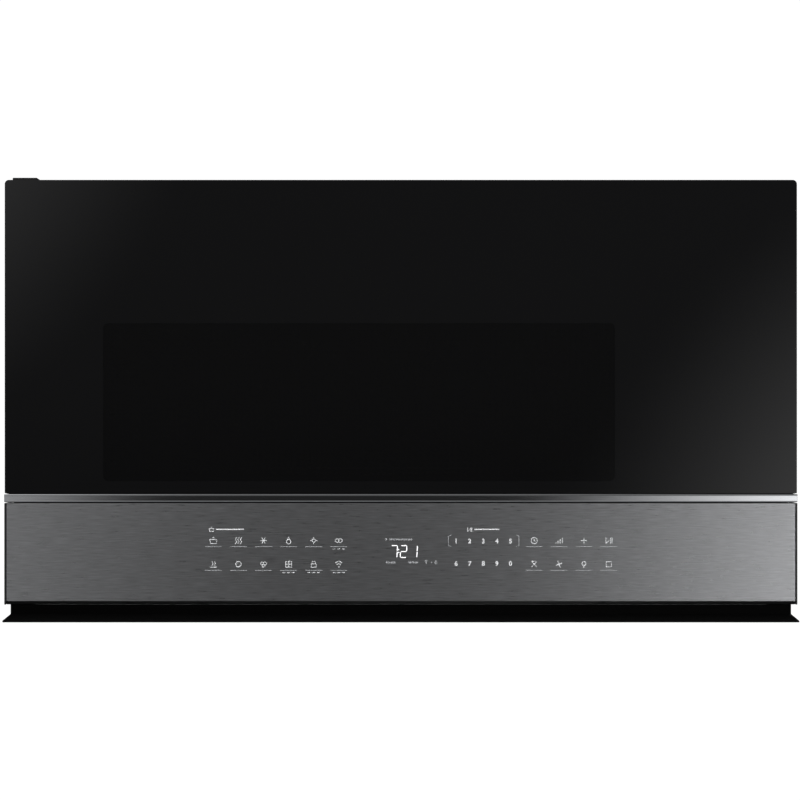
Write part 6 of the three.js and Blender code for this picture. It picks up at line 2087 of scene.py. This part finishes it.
def control_board():
    """The board behind the panel: relays and other parts at its back, and touch pads in front."""
    node = "control_board"
    box = Box(node)
    low, high, middle = box.low, box.high, box.middle
    back = low.y + BOARD_SHEET
    sheet = pad(low, (high.x, back, high.z), *BOARD_SOFT, "y")
    detail("control_board_sheet", "board", node, [sheet], instead=True)
    middles = [(x, (back + high.y) / 2, middle.z) for x in RELAYS_X]
    size = (RELAY_WIDTH, high.y - back, RELAY_HEIGHT)
    detail("relays", "blue", node, pads(middles, size, *RELAY_SOFT, "y"))
    control_chips(low, high, back, middle)
    shapes = []
    for x, z, radius, height in CANS:
        can = [(radius + r, h) for r, h in CAN_WAIST]
        can += [(radius, height - CAN_EDGE), (radius - CAN_EDGE, height)]
        shapes += studs([(middle.x + x, back, middle.z + z)], BACKWARD, can, ROUND_STEPS)
    detail("electrolytic_capacitors", "black_gloss", node, shapes)
    shapes = []
    for x, z, width in CONNECTORS:
        middles = [(middle.x + x, back + CONNECTOR_DEPTH / 2, middle.z + z)]
        shapes += pads(middles, (width, CONNECTOR_DEPTH, CONNECTOR_HEIGHT), *CONNECTOR_SOFT, "y")
    detail("board_connectors", "white_plastic", node, shapes)
    x, z = BUZZER_PLACE
    buzzer = studs([(middle.x + x, back, middle.z + z)], BACKWARD, BUZZER, BUZZER_STEPS)
    detail("buzzer", "black_plastic", node, buzzer)
    start, end = corners(low.xz, high.xz, *TOUCH_INSET)[::2]
    pitch = (end[0] - start[0]) / (TOUCH_PADS - 1)
    places = [(start[0] + k * pitch, low.y, z) for k in range(TOUCH_PADS) for z in (start[1], end[1])]
    detail("touch_pads", "gold", node, studs(places, FORWARD, TOUCH_PAD, TOUCH_STEPS))


def display_module():
    """A dark display in a white frame, with a row of pins behind."""
    node = "display_module"
    low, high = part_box(node)
    detail("display_glass", "black_gloss", node, [pad(low, high, *DISPLAY_SOFT, "y")], instead=True)
    outer, inner, front, back, corner = DISPLAY_FRAME
    section = rectangle((outer, low.y + front), (inner, high.y - back))
    detail("display_frame", "white_plastic", node, [surround(low.xz, high.xz, section, "y", corner)])
    first, z = (low.x + high.x) / 2 + PINS_START, low.z + PINS_RISE
    pins = []
    for k in range(DISPLAY_PINS):
        x = first + k * PINS_PITCH
        pins.append(tube([(x, high.y + end, z) for end in DISPLAY_PIN], DISPLAY_PIN_RADIUS, WIRE_STEPS))
    detail("display_pins", "steel", node, pins)


def interlock():
    """Screws and ribs on the interlock's bracket."""
    node = "interlock_bracket"
    box = Box(node)
    low, high = box.low, box.high
    inset, aside, ahead, radius = INTERLOCK_SCREWS
    heights = (low.z + inset, box.middle.z, high.z - inset)
    screws("interlock_screws", node, [(high.x - aside, low.y + ahead, z) for z in heights], BACKWARD, radius)
    outline = [(low.x + dx, low.y + dy) for dx, dy in BRACKET_RIB]
    switches = [Box("door_switch_" + level).middle.z for level in ("lower", "upper")]
    shapes = []
    for k in range(1, BRACKET_RIBS):
        z = low.z + k * (high.z - low.z) / BRACKET_RIBS
        if min(abs(z - switch) for switch in switches) > RIB_ROOM:
            shapes.append(prism(outline, "z", z - BRACKET_RIB_HALF, z + BRACKET_RIB_HALF))
    detail("interlock_ribs", "white_plastic", node, shapes)


def door_switch(node):
    """Three blades behind the switch and two rivets in its side."""
    box = Box(node)
    low, high, middle = box.low, box.high, box.middle
    middles = [(middle.x, high.y + SWITCH_BLADE_GAP, middle.z + dz) for dz in SWITCH_BLADES]
    front, back, rise = SWITCH_RIVETS
    places = [(high.x, low.y + front, middle.z + rise), (high.x, high.y - back, middle.z - rise)]
    shapes = pads(middles, *SWITCH_BLADE) + studs(places, RIGHTWARD, SWITCH_RIVET, RIVET_STEPS)
    detail(node + "_blades", "steel", node, shapes)


def controls():
    display_module()
    control_board()
    interlock()
    door_switch("door_switch_lower")
    door_switch("door_switch_upper")


# ---------------------------------------------------------------- the whole unit


def dress_rest():
    """Every CAD node that has no piece of its own yet gets its finish and rounded edges."""
    for node, obj in frame["nodes"].items():
        if not obj.hide_render:
            dress(node)


make_studio()
door()
control_panel()
carcase()
oven()
power()
ventilation()
controls()
dress_rest()
